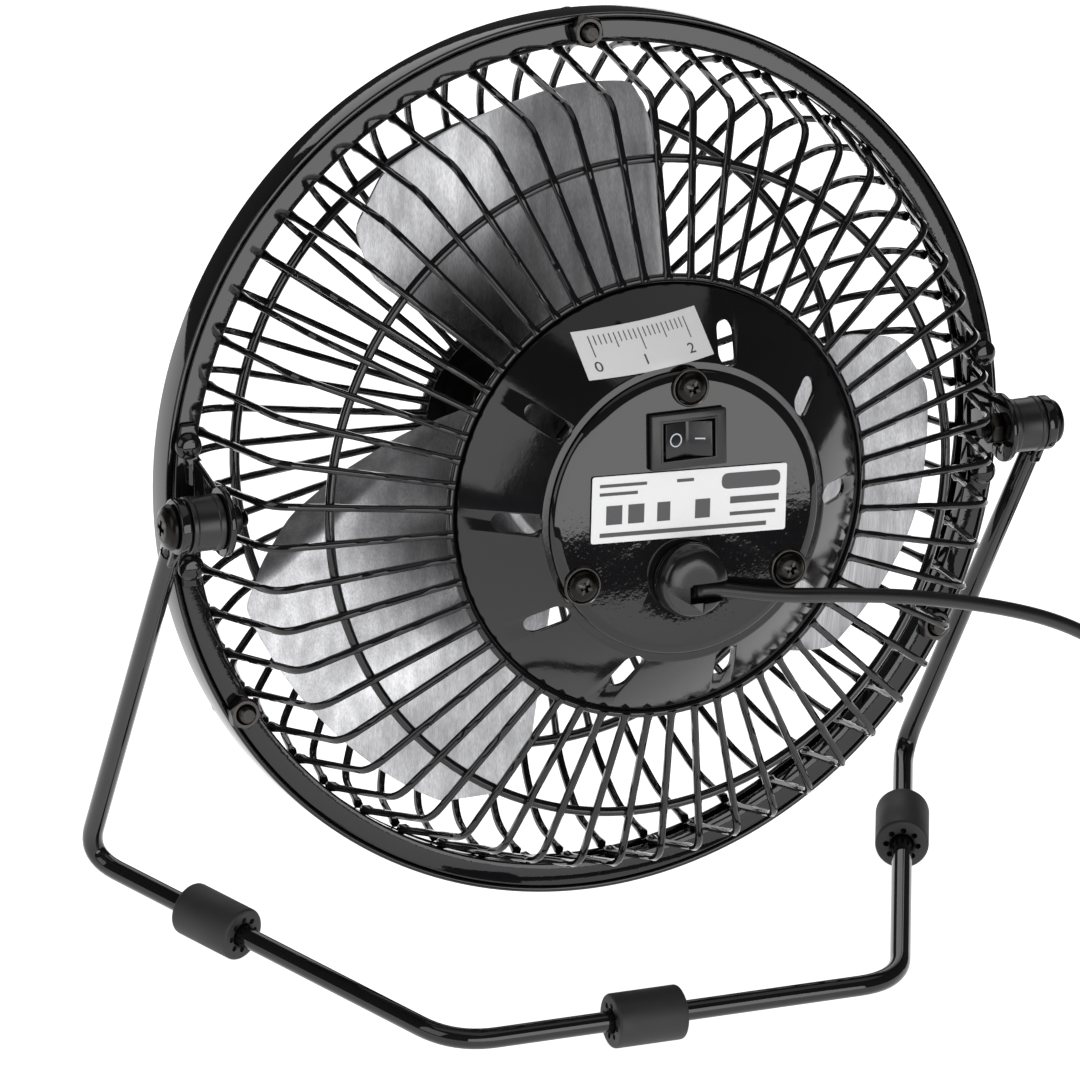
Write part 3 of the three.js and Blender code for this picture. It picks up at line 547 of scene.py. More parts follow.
def coil_place(angle):
    """The cord's centre after winding to this angle in degrees."""
    layer, lane = lane_order[0]
    height, radius = coil_layers[layer], coil_lanes[lane]
    for k, (layer, lane) in enumerate(lane_order[1:]):
        share = (angle - first_shift - k * turn_share + shift_half) / (2 * shift_half)
        share = min(max(share, 0), 1)
        share = (1 - math.cos(math.pi * share)) / 2
        height += (coil_layers[layer] - height) * share
        radius += (coil_lanes[lane] - radius) * share
    off_tie = abs((angle - tie_angle + 180) % 360 - 180)
    height += tie_lift * (1 + math.cos(math.pi * min(off_tie / 75, 1))) / 2
    turn = math.radians(angle)
    return coil_middle + Vector((radius * math.cos(turn), radius * math.sin(turn), height))


def smooth_line(points, step):
    """Evenly spaced places on a smooth curve through the points."""
    line = [Vector(point) for point in points]
    line = [2 * line[0] - line[1], *line, 2 * line[-1] - line[-2]]
    dense = []
    for a, b, c, d in zip(line, line[1:], line[2:], line[3:]):
        for k in range(12):
            t = k / 12
            dense.append(0.5 * (2 * b + (c - a) * t + (2 * a - 5 * b + 4 * c - d) * t * t
                                + (3 * b - a - 3 * c + d) * t ** 3))
    dense.append(line[-2])
    places, spare = [dense[0]], 0.0
    for before, after in zip(dense, dense[1:]):
        stretch = (after - before).length
        while spare + stretch >= step:
            share = (step - spare) / stretch
            before = before.lerp(after, share)
            stretch = (after - before).length
            places.append(before)
            spare = 0.0
        spare += stretch
    if spare > 0.3 * step:
        places.append(dense[-1])
    return places


coil_route = [coil_place(angle) for angle in range(coil_start + 14, coil_end, 15)]
cord_line = [place * mm for place in smooth_line([*lead_route, *coil_route, *tail_route], 1.6)]

# %% Sweep the cord
cord = swept(cord_line, cord_thick * mm, sides=16)
only(cord)
bpy.ops.object.shade_smooth()
cord.name = cord.data.name = "cord_line"
cord.data.materials.append(cord_skin)
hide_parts("cord_lead", "cord_coil", "cord_tail")
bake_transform(cord)
print("cord swept:", len(cord.data.polygons), "faces")

# %% [markdown]
# The tie is a soft rubber band round the coil's section: a rounded box with a rounded opening. The plug is a
# moulded shell with a ribbed strain relief, a folded steel sleeve and the contact tongue inside it.

# %% The tie round the coil
tie_turn = Matrix.Translation(coil_middle * mm) @ Matrix.Rotation(math.radians(tie_angle), 4, "Z")
half_width, tie_low, tie_high = 4.95, 0.9, 9.95
tie_wide = 6.6


def tie_loop(y, grow, reach):
    """A rounded box round the coil's section, larger by `grow`."""
    near, far = coil_lanes[1] - half_width - grow, coil_lanes[1] + half_width + grow
    low, high = tie_low - grow, tie_high + grow
    return softened([(near, y, low), (far, y, low), (far, y, high), (near, y, high)], reach, 6)


band = extruded(tie_loop(0, 0.75, 2.2), (0, tie_wide, 0))
carved(band, [extruded(tie_loop(-5, 0, 1.6), (0, 20, 0))])
eased(band, 0.25)
tie = finished(band, "coil_tie", "stand", black_rubber, ["cord_tie"],
               seat=tie_turn @ Matrix.Translation((0, -tie_wide / 2 * mm, 0)))

# %% The plug
plug_place = Matrix.Translation(Vector((162.3, 18.3, 3.9)) * mm)
collar_line = [(0, 0), (1.75, 0)]
for k in range(4):
    y = 0.5 + 1.5 * k
    collar_line += [(1.9, y), (2.3, y + 0.15), (2.3, y + 0.85), (1.85, y + 1.0)]
collar_line += [(2.3, 6.6), (0, 7.0)]
relief = knob(collar_line, steps=24)
shell = box_solid((-7.7, 6.5, -3.9), (7.7, 28, 3.9))
eased(shell, 1.5, 4)
grips = [box_solid((side * 7.5 - 0.5, 11 + 2 * k, -2.4), (side * 7.5 + 0.5, 11.9 + 2 * k, 2.4))
         for side in (-1, 1) for k in range(6)]
carved(shell, [box_solid((-6.3, 24, -2.55), (6.3, 30, 2.55)), *grips])
plug_body = finished(joined([shell, relief]), "plug_moulding", "stand", black_plastic, ["usb_plug_body"],
                     seat=plug_place)
sleeve = box_solid((-6, 24.5, -2.25), (6, 40, 2.25))
eased(sleeve, 0.5, 3)
windows = [box_solid((x - 1.1, 33.5, 1), (x + 1.1, 35.8, 4)) for x in (-2.9, 2.9)]
carved(sleeve, [box_solid((-5.7, 26, -1.95), (5.7, 42, 1.95)), *windows])
plug_sleeve = finished(sleeve, "plug_sleeve", "stand", plain_steel, ["usb_plug_shell"], seat=plug_place)
tongue = box_solid((-5.4, 26.4, -1.6), (5.4, 39, -0.2))
eased(tongue, 0.2)
plug_tongue = finished(tongue, "plug_tongue", "stand", black_plastic, ["usb_plug_tongue"], seat=plug_place)

# %% [markdown]
# ## The stand
# One steel rod is bent into a U that lies on the table, with two arms that lean back to the pivots.
# It is drawn as a line with generous corners and swept round. Its ends are hammered flat and drilled, so
# each end gets a flat strap and a round eye, joined to the rod.

# %% The bent rod
pivot_place = Vector(joints["head_tilt"]["pos_m"]) / mm
rod_thick, floor_to_rod = 4, 5.25
eye_x, eye_half = 87.8, 1.0
front_corner, rear_corner = (85.7, 40.4), (45.4, -46.4)
arm_lean = math.atan2(front_corner[1], pivot_place.z - floor_to_rod)


def corner(place, side):
    return Vector((side * place[0], pivot_place.y + place[1], floor_to_rod))


def arm_top(side, drop):
    top = Vector((side * eye_x, pivot_place.y, pivot_place.z))
    return top + (corner(front_corner, side) - top).normalized() * drop


rod_line = [arm_top(-1, 7.6), corner(front_corner, -1), corner(rear_corner, -1),
            corner(rear_corner, 1), corner(front_corner, 1), arm_top(1, 7.6)]
rod_line = softened(rod_line, 8.5, 10, closed=False)
rod = swept([place * mm for place in rod_line], rod_thick * mm, sides=20)
print("rod swept through", len(rod_line), "places")

# %% The flattened, drilled ends
ends = []
for side in (-1, 1):
    eye = knob([(0, -eye_half), (5.2, -eye_half), (5.2, eye_half), (0, eye_half)], 0.45, 40)
    strap = box_solid((-2.6, -eye_half, -9), (2.6, eye_half, -1))
    eased(strap, 0.4, 3)
    carved(eye, [strap], "UNION")
    carved(eye, [drill(0, 0, 1.75, -3, 3)])
    eye.data.transform(Matrix.Translation(Vector((side * eye_x, pivot_place.y, pivot_place.z)) * mm)
                       @ Matrix.Rotation(arm_lean, 4, "X") @ Matrix.Rotation(math.pi / 2, 4, "Z"))
    ends.append(eye)
    neck_line = [arm_top(side, drop) * mm for drop in (6.2, 7.2, 8.2, 9.4)]
    neck = swept(neck_line, rod_thick * mm, 20, [0.62, 0.8, 0.94, 1.0])
    ends.append(neck)
finished(joined([rod, *ends]), "stand_bent_rod", "stand", gloss_paint, ["stand_rod"], seat=upright)

# %% [markdown]
# Three rubber sleeves are slid over the rod. Each is an extruded tube whose bore is star-shaped so that
# it grips, with soft ends. It is turned about its own axis, and the star is cut with small round bars.

# %% Rubber feet
def foot_blank():
    """A rubber tube along Y with eight round notches in each end of its bore."""
    sleeve = turned([(2.25, -7), (5.2, -7), (5.2, 7), (2.25, 7)], 0.7, 64)
    turns = [tau * k / 8 for k in range(8)]
    return carved(sleeve, [drill(3.05 * math.cos(turn), 3.05 * math.sin(turn), 0.62, low, low + 2.3, 12)
                           for low in (-7.5, 5.2) for turn in turns])


side_run = Vector((rear_corner[0] - front_corner[0], rear_corner[1] - front_corner[1]))
foot_share = 0.36
foot_x = front_corner[0] + foot_share * side_run.x
foot_y = pivot_place.y + front_corner[1] + foot_share * side_run.y
foot_turn = math.atan2(side_run.x, -side_run.y)
first_foot = foot_blank()
for word, x, y, turn in (("left", -foot_x, foot_y, -foot_turn), ("right", foot_x, foot_y, foot_turn),
                         ("rear", -7, pivot_place.y + rear_corner[1], math.pi / 2)):
    seat = Matrix.Translation(Vector((x, y, floor_to_rod)) * mm) @ Matrix.Rotation(turn, 4, "Z")
    finished(copy_of(first_foot), f"rubber_foot_{word}", "stand", black_rubber, [f"foot_{word}"], seat=seat,
             crease=50)
bpy.data.objects.remove(first_foot)

# %% [markdown]
# ## Screws and nuts
# Every screw is the same idea at another size: a turned pan head with a cross recess. The recess is cut
# with four short bars and a cone, as the punch that makes it has four wings. Nuts are a hexagon whose
# corners are turned off by a cone, then drilled, and the bolt's end stands out of it.

# %% Screw and nut blanks
def screw(head_radius, head_height, shank_radius, shank_length, recess=0.48, wing=0.2):
    """Head towards -Y with its seat at y = 0, shank towards +Y."""
    body = knob([(0, -head_height), (head_radius * 0.6, -head_height * 0.93),
                 (head_radius * 0.9, -head_height * 0.62), (head_radius, -head_height * 0.3),
                 (head_radius, 0), (shank_radius, 0),
                 (shank_radius, shank_length - 0.3), (shank_radius - 0.25, shank_length), (0, shank_length)],
                0.3, 40)
    reach, half = head_radius * recess, head_radius * wing / 2
    deep = -head_height * 0.28
    wings = []
    for turn in (0, 90):
        blade = box_solid((-reach, -head_height - 1, -half), (reach, deep, half))
        for vertex in blade.data.vertices:
            if vertex.co.y > (deep - 0.1) * mm:
                vertex.co.x *= 0.45
        blade.data.transform(about_y(turn))
        wings.append(blade)
    outside = -head_height - 1
    middle = knob([(0, outside), (reach * 0.46, outside), (reach * 0.3, deep), (0, deep + 0.2)], steps=16)
    return carved(body, [*wings, middle])


def nut(flats, low, high, bolt_radius):
    """A hexagon nut from y = low to high, measured across its flats."""
    circle = flats / 2 / math.cos(math.pi / 6)
    hexagon = drill(0, 0, circle, low, high, 6)
    cone = knob([(0, low), (flats / 2 - 0.15, low), (circle + 0.2, low + 0.75), (circle + 0.2, high - 0.4),
                 (flats / 2 + 0.1, high), (0, high)], steps=48)
    carved(hexagon, [cone], "INTERSECT")
    bore, mouth = bolt_radius + 0.12, bolt_radius + 0.55
    carved(hexagon, [knob([(0, low - 1), (mouth, low - 1), (mouth, low + 0.05), (bore, low + 0.5),
                           (bore, high + 1), (0, high + 1)], steps=32)])
    return eased(hexagon, 0.12, 2, 30)


def threaded(radius, start, end, pitch=0.5, steps=24):
    """A bolt's shank with the ridges of its thread, along Y."""
    line = [(0, start), (radius - 0.3, start), (radius, start + 0.3)]
    y = start + 0.3
    while y + pitch < end:
        line += [(radius - 0.18, y + pitch * 0.5), (radius, y + pitch)]
        y += pitch
    line += [(radius, end), (0, end)]
    return knob(line, steps=steps)


fasteners = [node for node in frame["nodes"] if "screw" in node or "nut" in node]
print("blanks are ready for", len(fasteners), "screws and nuts")

# %% [markdown]
# ## The pivots
# At each side a bracket is riveted to the ring, a plastic spacer keeps it off the rod's eye, and a
# pan-head screw runs through all three into a nut. The screw, spacer and nut lie along X, so they are
# made along Y and turned. The left side is the right side turned half round.

# %% Pivot screws, nuts and spacers
def along_pivot(piece, side):
    """Point a piece made along +Y (outwards) along the pivot on one side."""
    piece.data.transform(Matrix.Rotation(-math.pi / 2 * side, 4, "Z"))
    piece.data.transform(Matrix.Translation(pivot_place * mm))
    return piece


for word, side in (("left", -1), ("right", 1)):
    body = screw(4.3, 2.2, 1.5, 2)
    body.data.transform(Matrix.Translation((0, 89.1 * mm, 0)) @ Matrix.Rotation(math.pi, 4, "Z"))
    shank = threaded(1.5, 74.4, 88.5)
    finished(along_pivot(joined([body, shank]), side), f"pivot_pan_screw_{word}", "stand", dark_steel,
             [f"pivot_screw_{word}"], seat=upright)
    made = nut(5.5, 76.0, 78.3, 1.5)
    finished(along_pivot(made, side), f"pivot_hex_nut_{word}", "stand", dark_steel, [f"pivot_nut_{word}"],
             seat=upright)
    sleeve = turned([(1.8, 80.1), (5.3, 80.1), (5.3, 81.2), (5.1, 81.4), (5.1, 85.4), (5.3, 85.6),
                     (5.3, 86.5), (1.8, 86.5)], 0.2, 56)
    finished(along_pivot(sleeve, side), f"pivot_sleeve_{word}", "stand", black_plastic,
             [f"pivot_spacer_{word}"], seat=upright)

# %% [markdown]
# The bracket is an angle of 1.2 mm sheet: a tab that follows the ring and a rounded ear that reaches back
# to the pivot. It is painted with the ring, so its bend and its edges are soft.

# %% Brackets and their dome screws
ear_x, ear_out, pivot_back = 78.6, 79.8, -13.8
tab_radius, tab_half = 83.6, 15.5
tab_end = math.sqrt(tab_radius ** 2 - tab_half ** 2)
for word, side in (("left", -1), ("right", 1)):
    arc = [(math.sqrt(tab_radius ** 2 - z * z), z) for z in (-11.5, -7.5, -3.5, 0, 3.5, 7.5, 11.5)]
    tab = cut_sheet([(ear_x, -tab_half), (tab_end, -tab_half), *arc, (tab_end, tab_half), (ear_x, tab_half)],
                    ear_out - ear_x, level=-1.5)
    round_end = [(pivot_back + 6.6 * math.cos(math.radians(a)), 6.6 * math.sin(math.radians(a)))
                 for a in range(60, 301, 12)]
    ear = cut_sheet([(-0.3, -9), *reversed(round_end), (-0.3, 9)], ear_out - ear_x)
    ear.data.transform(Matrix(((0, 1, 0, ear_x * mm), (1, 0, 0, 0), (0, 0, 1, 0), (0, 0, 0, 1))))
    start_edit(ear)
    clean_faces()
    stop_edit()
    carved(tab, [ear], "UNION")
    hole = drill(0, 0, 1.8, 70, 90)
    hole.data.transform(Matrix.Translation((0, pivot_back * mm, 0)) @ Matrix.Rotation(-math.pi / 2, 4, "Z"))
    carved(tab, [hole])
    eased(tab, 0.35, 3, 50)
    turn = Matrix.Identity(4) if side > 0 else Matrix.Rotation(math.pi, 4, "Y")
    tab.data.transform(turn)
    finished(tab, f"angle_bracket_{word}", "head", gloss_paint, [f"pivot_bracket_{word}"])
    for level, end in (("upper", 1), ("lower", -1)):
        dome = knob([(0, -3.4), (1.6, -3.2), (2.5, -2.4), (2.6, -1.5), (1.2, -1.5), (1.2, -0.6), (0, -0.6)],
                    0.3, 40)
        dome.data.transform(Matrix.Translation(Vector((side * 80.9, 0, end * 11.6)) * mm))
        finished(dome, f"dome_screw_{word}_{level}", "head", gloss_paint, [f"bracket_screw_{word}_{level}"])

# %% [markdown]
# ## The guard
# Two pressed rims nest and three bolts pull them together. Each is one outline turned about the shaft;
# the outline has a rolled lip, because the lip is what draws a thin bright line round the fan.

# %% Rims, bolts and nuts
bolt_circle = 81.8
bolt_angles = {"top": 90, "left": 210, "right": 330}


def at_bolt(degrees, radius=bolt_circle):
    turn = math.radians(degrees)
    return Vector((radius * math.cos(turn), 0, radius * math.sin(turn)))


def bolt_drills():
    return [drill(at_bolt(a).x, at_bolt(a).z, 1.75, -3, 12, 24) for a in bolt_angles.values()]


rear = turned([(79.2, 0), (83.5, 0), (83.5, 1), (80.2, 1), (80.2, 3.4), (79.2, 3.4)], 0.4, 224)
finished(carved(rear, bolt_drills()), "rear_pressed_rim", "head", gloss_paint, ["rear_rim"])
front = turned([(79.2, 6.3), (83.8, 6.3), (83.8, 0), (84.8, 0), (84.8, 7.3), (79.2, 7.3)], 0.4, 224)
finished(carved(front, bolt_drills()), "front_pressed_hoop", "head", gloss_paint, ["front_rim"])
for word, degrees in bolt_angles.items():
    place = at_bolt(degrees)
    head = screw(2.9, 2.2, 1.5, 1.0)
    head.data.transform(Matrix.Translation((0, 7.6 * mm, 0)) @ Matrix.Rotation(math.pi, 4, "Z"))
    bolt = joined([head, threaded(1.5, -4.0, 7.2)])
    bolt.data.transform(Matrix.Translation(place * mm))
    finished(bolt, f"rim_bolt_{word}", "head", dark_steel, [f"guard_bolt_{word}"])
    made = nut(5.5, -2.7, -0.3, 1.5)
    made.data.transform(Matrix.Translation(place * mm) @ about_y(12))
    finished(made, f"rim_hex_nut_{word}", "head", dark_steel, [f"guard_nut_{word}"])

# %% [markdown]
# The grille has 56 bent wires on each side, welded to rings. One wire is drawn with soft bends and swept;
# where it meets a ring the bar swells a little, because weld and thick paint fill every inner corner.
# Then it is copied round the shaft, each copy with its own mesh, and all are joined with their rings.

# %% Wires and welded rings
wire_count, wire_thick = 56, 1.45
wire_step = 360 / wire_count


def grille_wire(line, swells, reach=3.4, step=1.7):
    """One wire in the (radius, y) plane; swells are (radius of the ring, how much, over what width)."""
    bent = softened([(radius, y, 0) for radius, y in line], reach, 5, closed=False)
    places = []
    for before, after in zip(bent, bent[1:]):
        parts = max(1, round((after - before).length / step)) if (after - before).length > 3 * step else 1
        places += [before.lerp(after, k / parts) for k in range(parts)]
    places.append(bent[-1])
    for at, _, _ in swells:
        near = [i for i, place in enumerate(places[:-1]) if places[i + 1].x < at <= place.x]
        for i in reversed(near):
            share = (places[i].x - at) / max(places[i].x - places[i + 1].x, 1e-6)
            places.insert(i + 1, places[i].lerp(places[i + 1], share))
    widths = []
    for place in places:
        wide = 1.0
        for at, amount, width in swells:
            wide += amount * max(0.0, 1 - (abs(place.x - at) / width)) ** 1.5
        widths.append(wide)
    return swept([place * mm for place in places], wire_thick * mm, 8, widths)


def grille(wire, rings, name, node):
    """Copy a wire round the shaft and join the copies with their rings."""
    wires = [copy_of(wire, about_y(wire_step * (i + 0.5))) for i in range(wire_count)]
    bpy.data.objects.remove(wire)
    return finished(joined([*wires, *rings]), name, "head", gloss_paint, [node], crease=60)


rear_wire = grille_wire([(78.5, 3.0), (78.1, 0.4), (73.2, -22.4), (41.2, -32.55)],
                        [(78.3, 0.5, 0.5), (62.2, 0.16, 1.6), (41.4, 0.45, 1.7)])
grille(rear_wire, [ring(62.3, -24.75, 1.8), ring(41.5, -32.15, 1.5)], "rear_grille", "rear_guard_wires")
front_wire = grille_wire([(78.3, 5.9), (75.6, 17), (66, 24.6), (20.6, 31)],
                         [(78.2, 0.4, 0.6), (61.9, 0.16, 1.6), (21, 0.4, 2.6)], reach=3.8)
grille(front_wire, [ring(61.9, 23.95, 2.0), ring(20.9, 31, 1.5)], "front_grille", "front_guard_wires")

# %% [markdown]
# The badge in front is a shallow pressed cap. It is turned with a stepped rim and left plain.

# %% Front badge
cap = knob([(0, 32.0), (21.0, 32.0), (21.2, 32.6), (20.6, 33.3), (19.2, 33.3), (18.6, 33.0), (17.2, 33.5),
            (12, 34.1), (6, 34.45), (0, 34.6)], 0.35, 96)
finished(cap, "front_cap", "head", gloss_paint, ["front_badge"])

# %% [markdown]
# ## The rear plate
# A steep steel cone closes the middle of the guard, with a narrow seat for the wires' inner ring. Its
# outline is turned like the rims, then ten slots for cooling air are punched round it. A slot's edge is
# a clean cut that the paint has rounded slightly.

# %% Plate and slots
plate_turn = -2
slot_turn = -1
slot_count, slot_circle, slot_long, slot_wide = 10, 31.8, 7.5, 3.8
plate_face = -44.2
cone_start, cone_end, cone_edge_y = 28.3, 40.4, -32.9
cone_slope = (cone_edge_y - plate_face) / (cone_end - cone_start)
screw_circle = 23.9
screw_angles = {"top": 90 + plate_turn, "left": 210 + plate_turn, "right": 330 + plate_turn}
seat_y = -31.7
cone = turned([(21.5, plate_face), (cone_start, plate_face), (cone_end, cone_edge_y), (cone_end, seat_y),
               (cone_end + 1.4, seat_y), (cone_end + 1.4, seat_y + 0.7), (cone_end - 1, seat_y + 0.7),
               (cone_end - 1.45, cone_edge_y), (cone_start - 0.4, plate_face + 1), (21.5, plate_face + 1)],
              0.3, 192)


def slot_cutter(degrees):
    """A long rounded bar that punches one slot."""
    half, radius = slot_long / 2 - slot_wide / 2, slot_wide / 2
    outline = [(slot_circle + side * half + radius * math.cos(math.radians(a + (90 - 90 * side))),
                radius * math.sin(math.radians(a + (90 - 90 * side))))
               for side in (1, -1) for a in range(-90, 91, 15)]
    cutter = cut_sheet(outline, 20, level=-50)
    cutter.data.transform(about_y(degrees))
    return cutter


def screw_drills():
    return [drill(at_bolt(a, screw_circle).x, at_bolt(a, screw_circle).z, 1.6, -50, -35)
            for a in screw_angles.values()]


slots = [slot_cutter(360 / slot_count * i + slot_turn) for i in range(slot_count)]
carved(cone, slots + screw_drills())
eased(cone, 0.16, 2, 50)
finished(cone, "slotted_dish", "head", plate_paint, ["rear_plate"])

# %% [markdown]
# ## The motor cover
# A shallow pressed disc, glossier than anything else on the fan, with openings for the switch, the
# cord's grip and three screws. A thin turned ring round each screw stands for its rubbed paint.

# %% Cover with its openings
cover_face = -45.7
switch_z, grip_z = 14.3, -12.2
cap = knob([(0, cover_face), (25.1, cover_face), (26.5, -45.2), (27, -44.5), (0, -44.5)], 0.3, 160)
carved(cap, [box_solid((-6.6, -50, switch_z - 4.5), (6.6, -35, switch_z + 4.5)),
             drill(0, grip_z, 5.8, -50, -35, 48), *screw_drills()])
finished(cap, "motor_cap", "head", cover_paint, ["motor_cover"])
for word, degrees in screw_angles.items():
    place = Matrix.Translation(at_bolt(degrees, screw_circle) * mm)
    made = screw(2.95, 1.5, 1.2, 2.8)
    made.data.transform(place @ Matrix.Translation((0, -46.0 * mm, 0)) @ about_y(20))
    finished(made, f"cap_screw_{word}", "head", dark_steel, [f"cover_screw_{word}"])
    washer = turned([(3.05, -46.3), (3.4, -46.45), (3.65, -46.25), (3.65, -45.72), (3.05, -45.72)], 0.16, 56)
    washer.data.transform(place)
    finished(washer, f"cap_screw_rim_{word}", "head", worn_steel)

# %% [markdown]
# ## The switch
# A snap-in rocker switch: a bezel with a raised lip, a dark well, and a rocker with a shallow V face. The
# rocker is extruded from its side view. The marks are thin raised print: a ring for off, a bar for on.

# %% Switch body
bezel_y = -47.1
bezel = box_solid((-7.55, bezel_y, -5.3), (7.55, -46, 5.3))
eased(bezel, 0.35, 3)
body = box_solid((-6.3, -46.2, -4.2), (6.3, -38.5, 4.2))
clips = [box_solid((x, -44.2, -2), (x + 0.5, -42.6, 2)) for x in (-6.55, 6.05)]
terminals = [box_solid((x - 0.4, -39, -1.4), (x + 0.4, -35.2, 1.4)) for x in (-3, 3)]
carved(bezel, [body], "UNION")
lip = box_solid((-5.65, bezel_y - 0.12, -4.05), (5.65, bezel_y + 0.2, 4.05))
for walls in (bezel, lip):
    carved(walls, [box_solid((-5.2, bezel_y - 2, -3.6), (5.2, -42.7, 3.6))])
eased(lip, 0.1, 2)
housing = joined([bezel, lip, *clips, *terminals])
housing.data.transform(Matrix.Translation((0, 0, switch_z * mm)))
finished(housing, "rocker_switch_housing", "head", black_plastic, ["switch_body"])

# %% Rocker and its marks
rest_turn = Matrix.Rotation(math.radians(-8), 4, "Z")
rocker_place = Matrix.Translation(Vector((0, -46.4, switch_z)) * mm) @ rest_turn
rocker_half, rocker_long = 4.55, 6.6
side_view = [(-rocker_half, -0.9), (0, 0.55), (rocker_half, -0.9), (4.05, 0.9), (2, 2.1), (-2, 2.1),
             (-4.05, 0.9)]
rocker = extruded(softened([(x, y, -rocker_long / 2) for x, y in side_view], 0.35), (0, 0, rocker_long))
eased(rocker, 0.22, 3, 45)
finished(rocker, "rocker_key", "rocker", shiny_plastic, ["switch_rocker"], seat=head_seat @ rocker_place)
face_slope = math.atan2(0.55 + 0.9, rocker_half)
off_ring = turned([(1.05, -0.02), (1.3, -0.02), (1.3, 0.1), (1.05, 0.1)], steps=48)
off_ring.data.transform(Matrix.Translation((-2.3 * mm, -0.2 * mm, 0)) @ Matrix.Rotation(face_slope, 4, "Z"))
on_bar = box_solid((-0.95, -0.02, -0.13), (0.95, 0.1, 0.13))
on_bar.data.transform(Matrix.Translation((2.3 * mm, -0.2 * mm, 0)) @ Matrix.Rotation(-face_slope, 4, "Z"))
finished(joined([off_ring, on_bar]), "rocker_marks", "rocker", white_ink, seat=head_seat @ rocker_place)

# %% [markdown]
# ## The cord's grip
# A round moulded bush with a flat across it: the cord turns inside and leaves sideways through a notch.
# It is turned as a knob, and the notch and the half-moon step are cut.

# %% Strain relief bush
bush = knob([(0, -51), (4.2, -51), (6.2, -50.2), (7, -48.4), (7, -46), (5.4, -46), (5.4, -42.6), (0, -42.6)],
            0.7, 64)
groove = turned([(6.55, -47.3), (8, -47.3), (8, -46.7), (6.55, -46.7)], 0.0, 64)
notch = box_solid((-1.4, -52, -3.9), (12, -46.8, 0))
eased(notch, 0.4, 2)
step = box_solid((-8, -52, -9), (1.2, -50.2, -0.35))
carved(bush, [groove, notch, step])
eased(bush, 0.16, 2, 50)
bush.data.transform(Matrix.Translation((0, 0, grip_z * mm)))
finished(bush, "cord_bush", "head", shiny_plastic, ["cord_grip"])

# %% [markdown]
# ## Stickers
# The big label is a rounded rectangle of coated paper. What a maker prints there is left out; plain grey
# bars of print keep its look. The small one is a two-centimetre scale with three digits, and it bends
# round the plate, so it is cut as a grid and pressed down onto the cone.

# %% Label with plain bars
label_seat = head_seat @ Matrix.Translation(Vector((0.3, 0, 2)) * mm) @ about_y(-2.3)
sheet = cut_sheet([(-19.5, -6.3), (19.5, -6.3), (19.5, 6.3), (-19.5, 6.3)], 0.15, 0.5, level=-46.15)
finished(sheet, "plain_label", "head", white_paper, ["rating_label"], seat=label_seat)
bars = [(-18, 4.2, 9.4, 0.6), (-18, 2.6, 7.6, 0.6), (-2.6, 4.2, 3.4, 0.6), (-16.6, -2.9, 3.2, 3.6),
        (-12.2, -2.9, 3.2, 3.6), (-6.4, -2.9, 2.6, 3.6), (1.2, -2.9, 3.0, 3.6), (8.2, -0.6, 9.8, 1.3),
        (8.2, -2.9, 9.2, 0.7), (-17.8, -5.2, 33.4, 0.8)]
prints = [box_solid((x, -46.19, z), (x + wide, -46.14, z + tall)) for x, z, wide, tall in bars]
pill = cut_sheet([(6.4, 2.2), (18.2, 2.2), (18.2, 5.2), (6.4, 5.2)], 0.05, 1.5, level=-46.19)
finished(joined([pill, *prints]), "label_print", "head", grey_ink, seat=label_seat)

# %% Scale sticker
scale_turn = about_y(6.5)


def dish_level(radius):
    """How far back the plate's outer face is at a radius."""
    return plate_face + max(0, radius - cone_start) * cone_slope


def pressed(piece, lift):
    """Lay a thin flat piece on the cone, a little above it."""
    for vertex in piece.data.vertices:
        up = (cone_start - 0.3) * mm + vertex.co.z * math.cos(math.atan(cone_slope))
        place = scale_turn @ Vector((vertex.co.x - 2.2 * mm, 0, up))
        radius = math.hypot(place.x, place.z) / mm
        vertex.co = Vector((place.x, (dish_level(radius) - lift) * mm + vertex.co.y, place.z))
    return piece


def diced(piece, step=1.0):
    """Cut a flat sheet into strips both ways so that it can bend."""
    low = [min(vertex.co[axis] for vertex in piece.data.vertices) for axis in range(3)]
    high = [max(vertex.co[axis] for vertex in piece.data.vertices) for axis in range(3)]
    start_edit(piece)
    for axis, normal in ((0, (1, 0, 0)), (2, (0, 0, 1))):
        place = low[axis] + step * mm
        while place < high[axis] - 0.2 * mm:
            spot = [0, 0, 0]
            spot[axis] = place
            bpy.ops.mesh.select_all(action="SELECT")
            bpy.ops.mesh.bisect(plane_co=spot, plane_no=normal)
            place += step * mm
    stop_edit()
    return piece


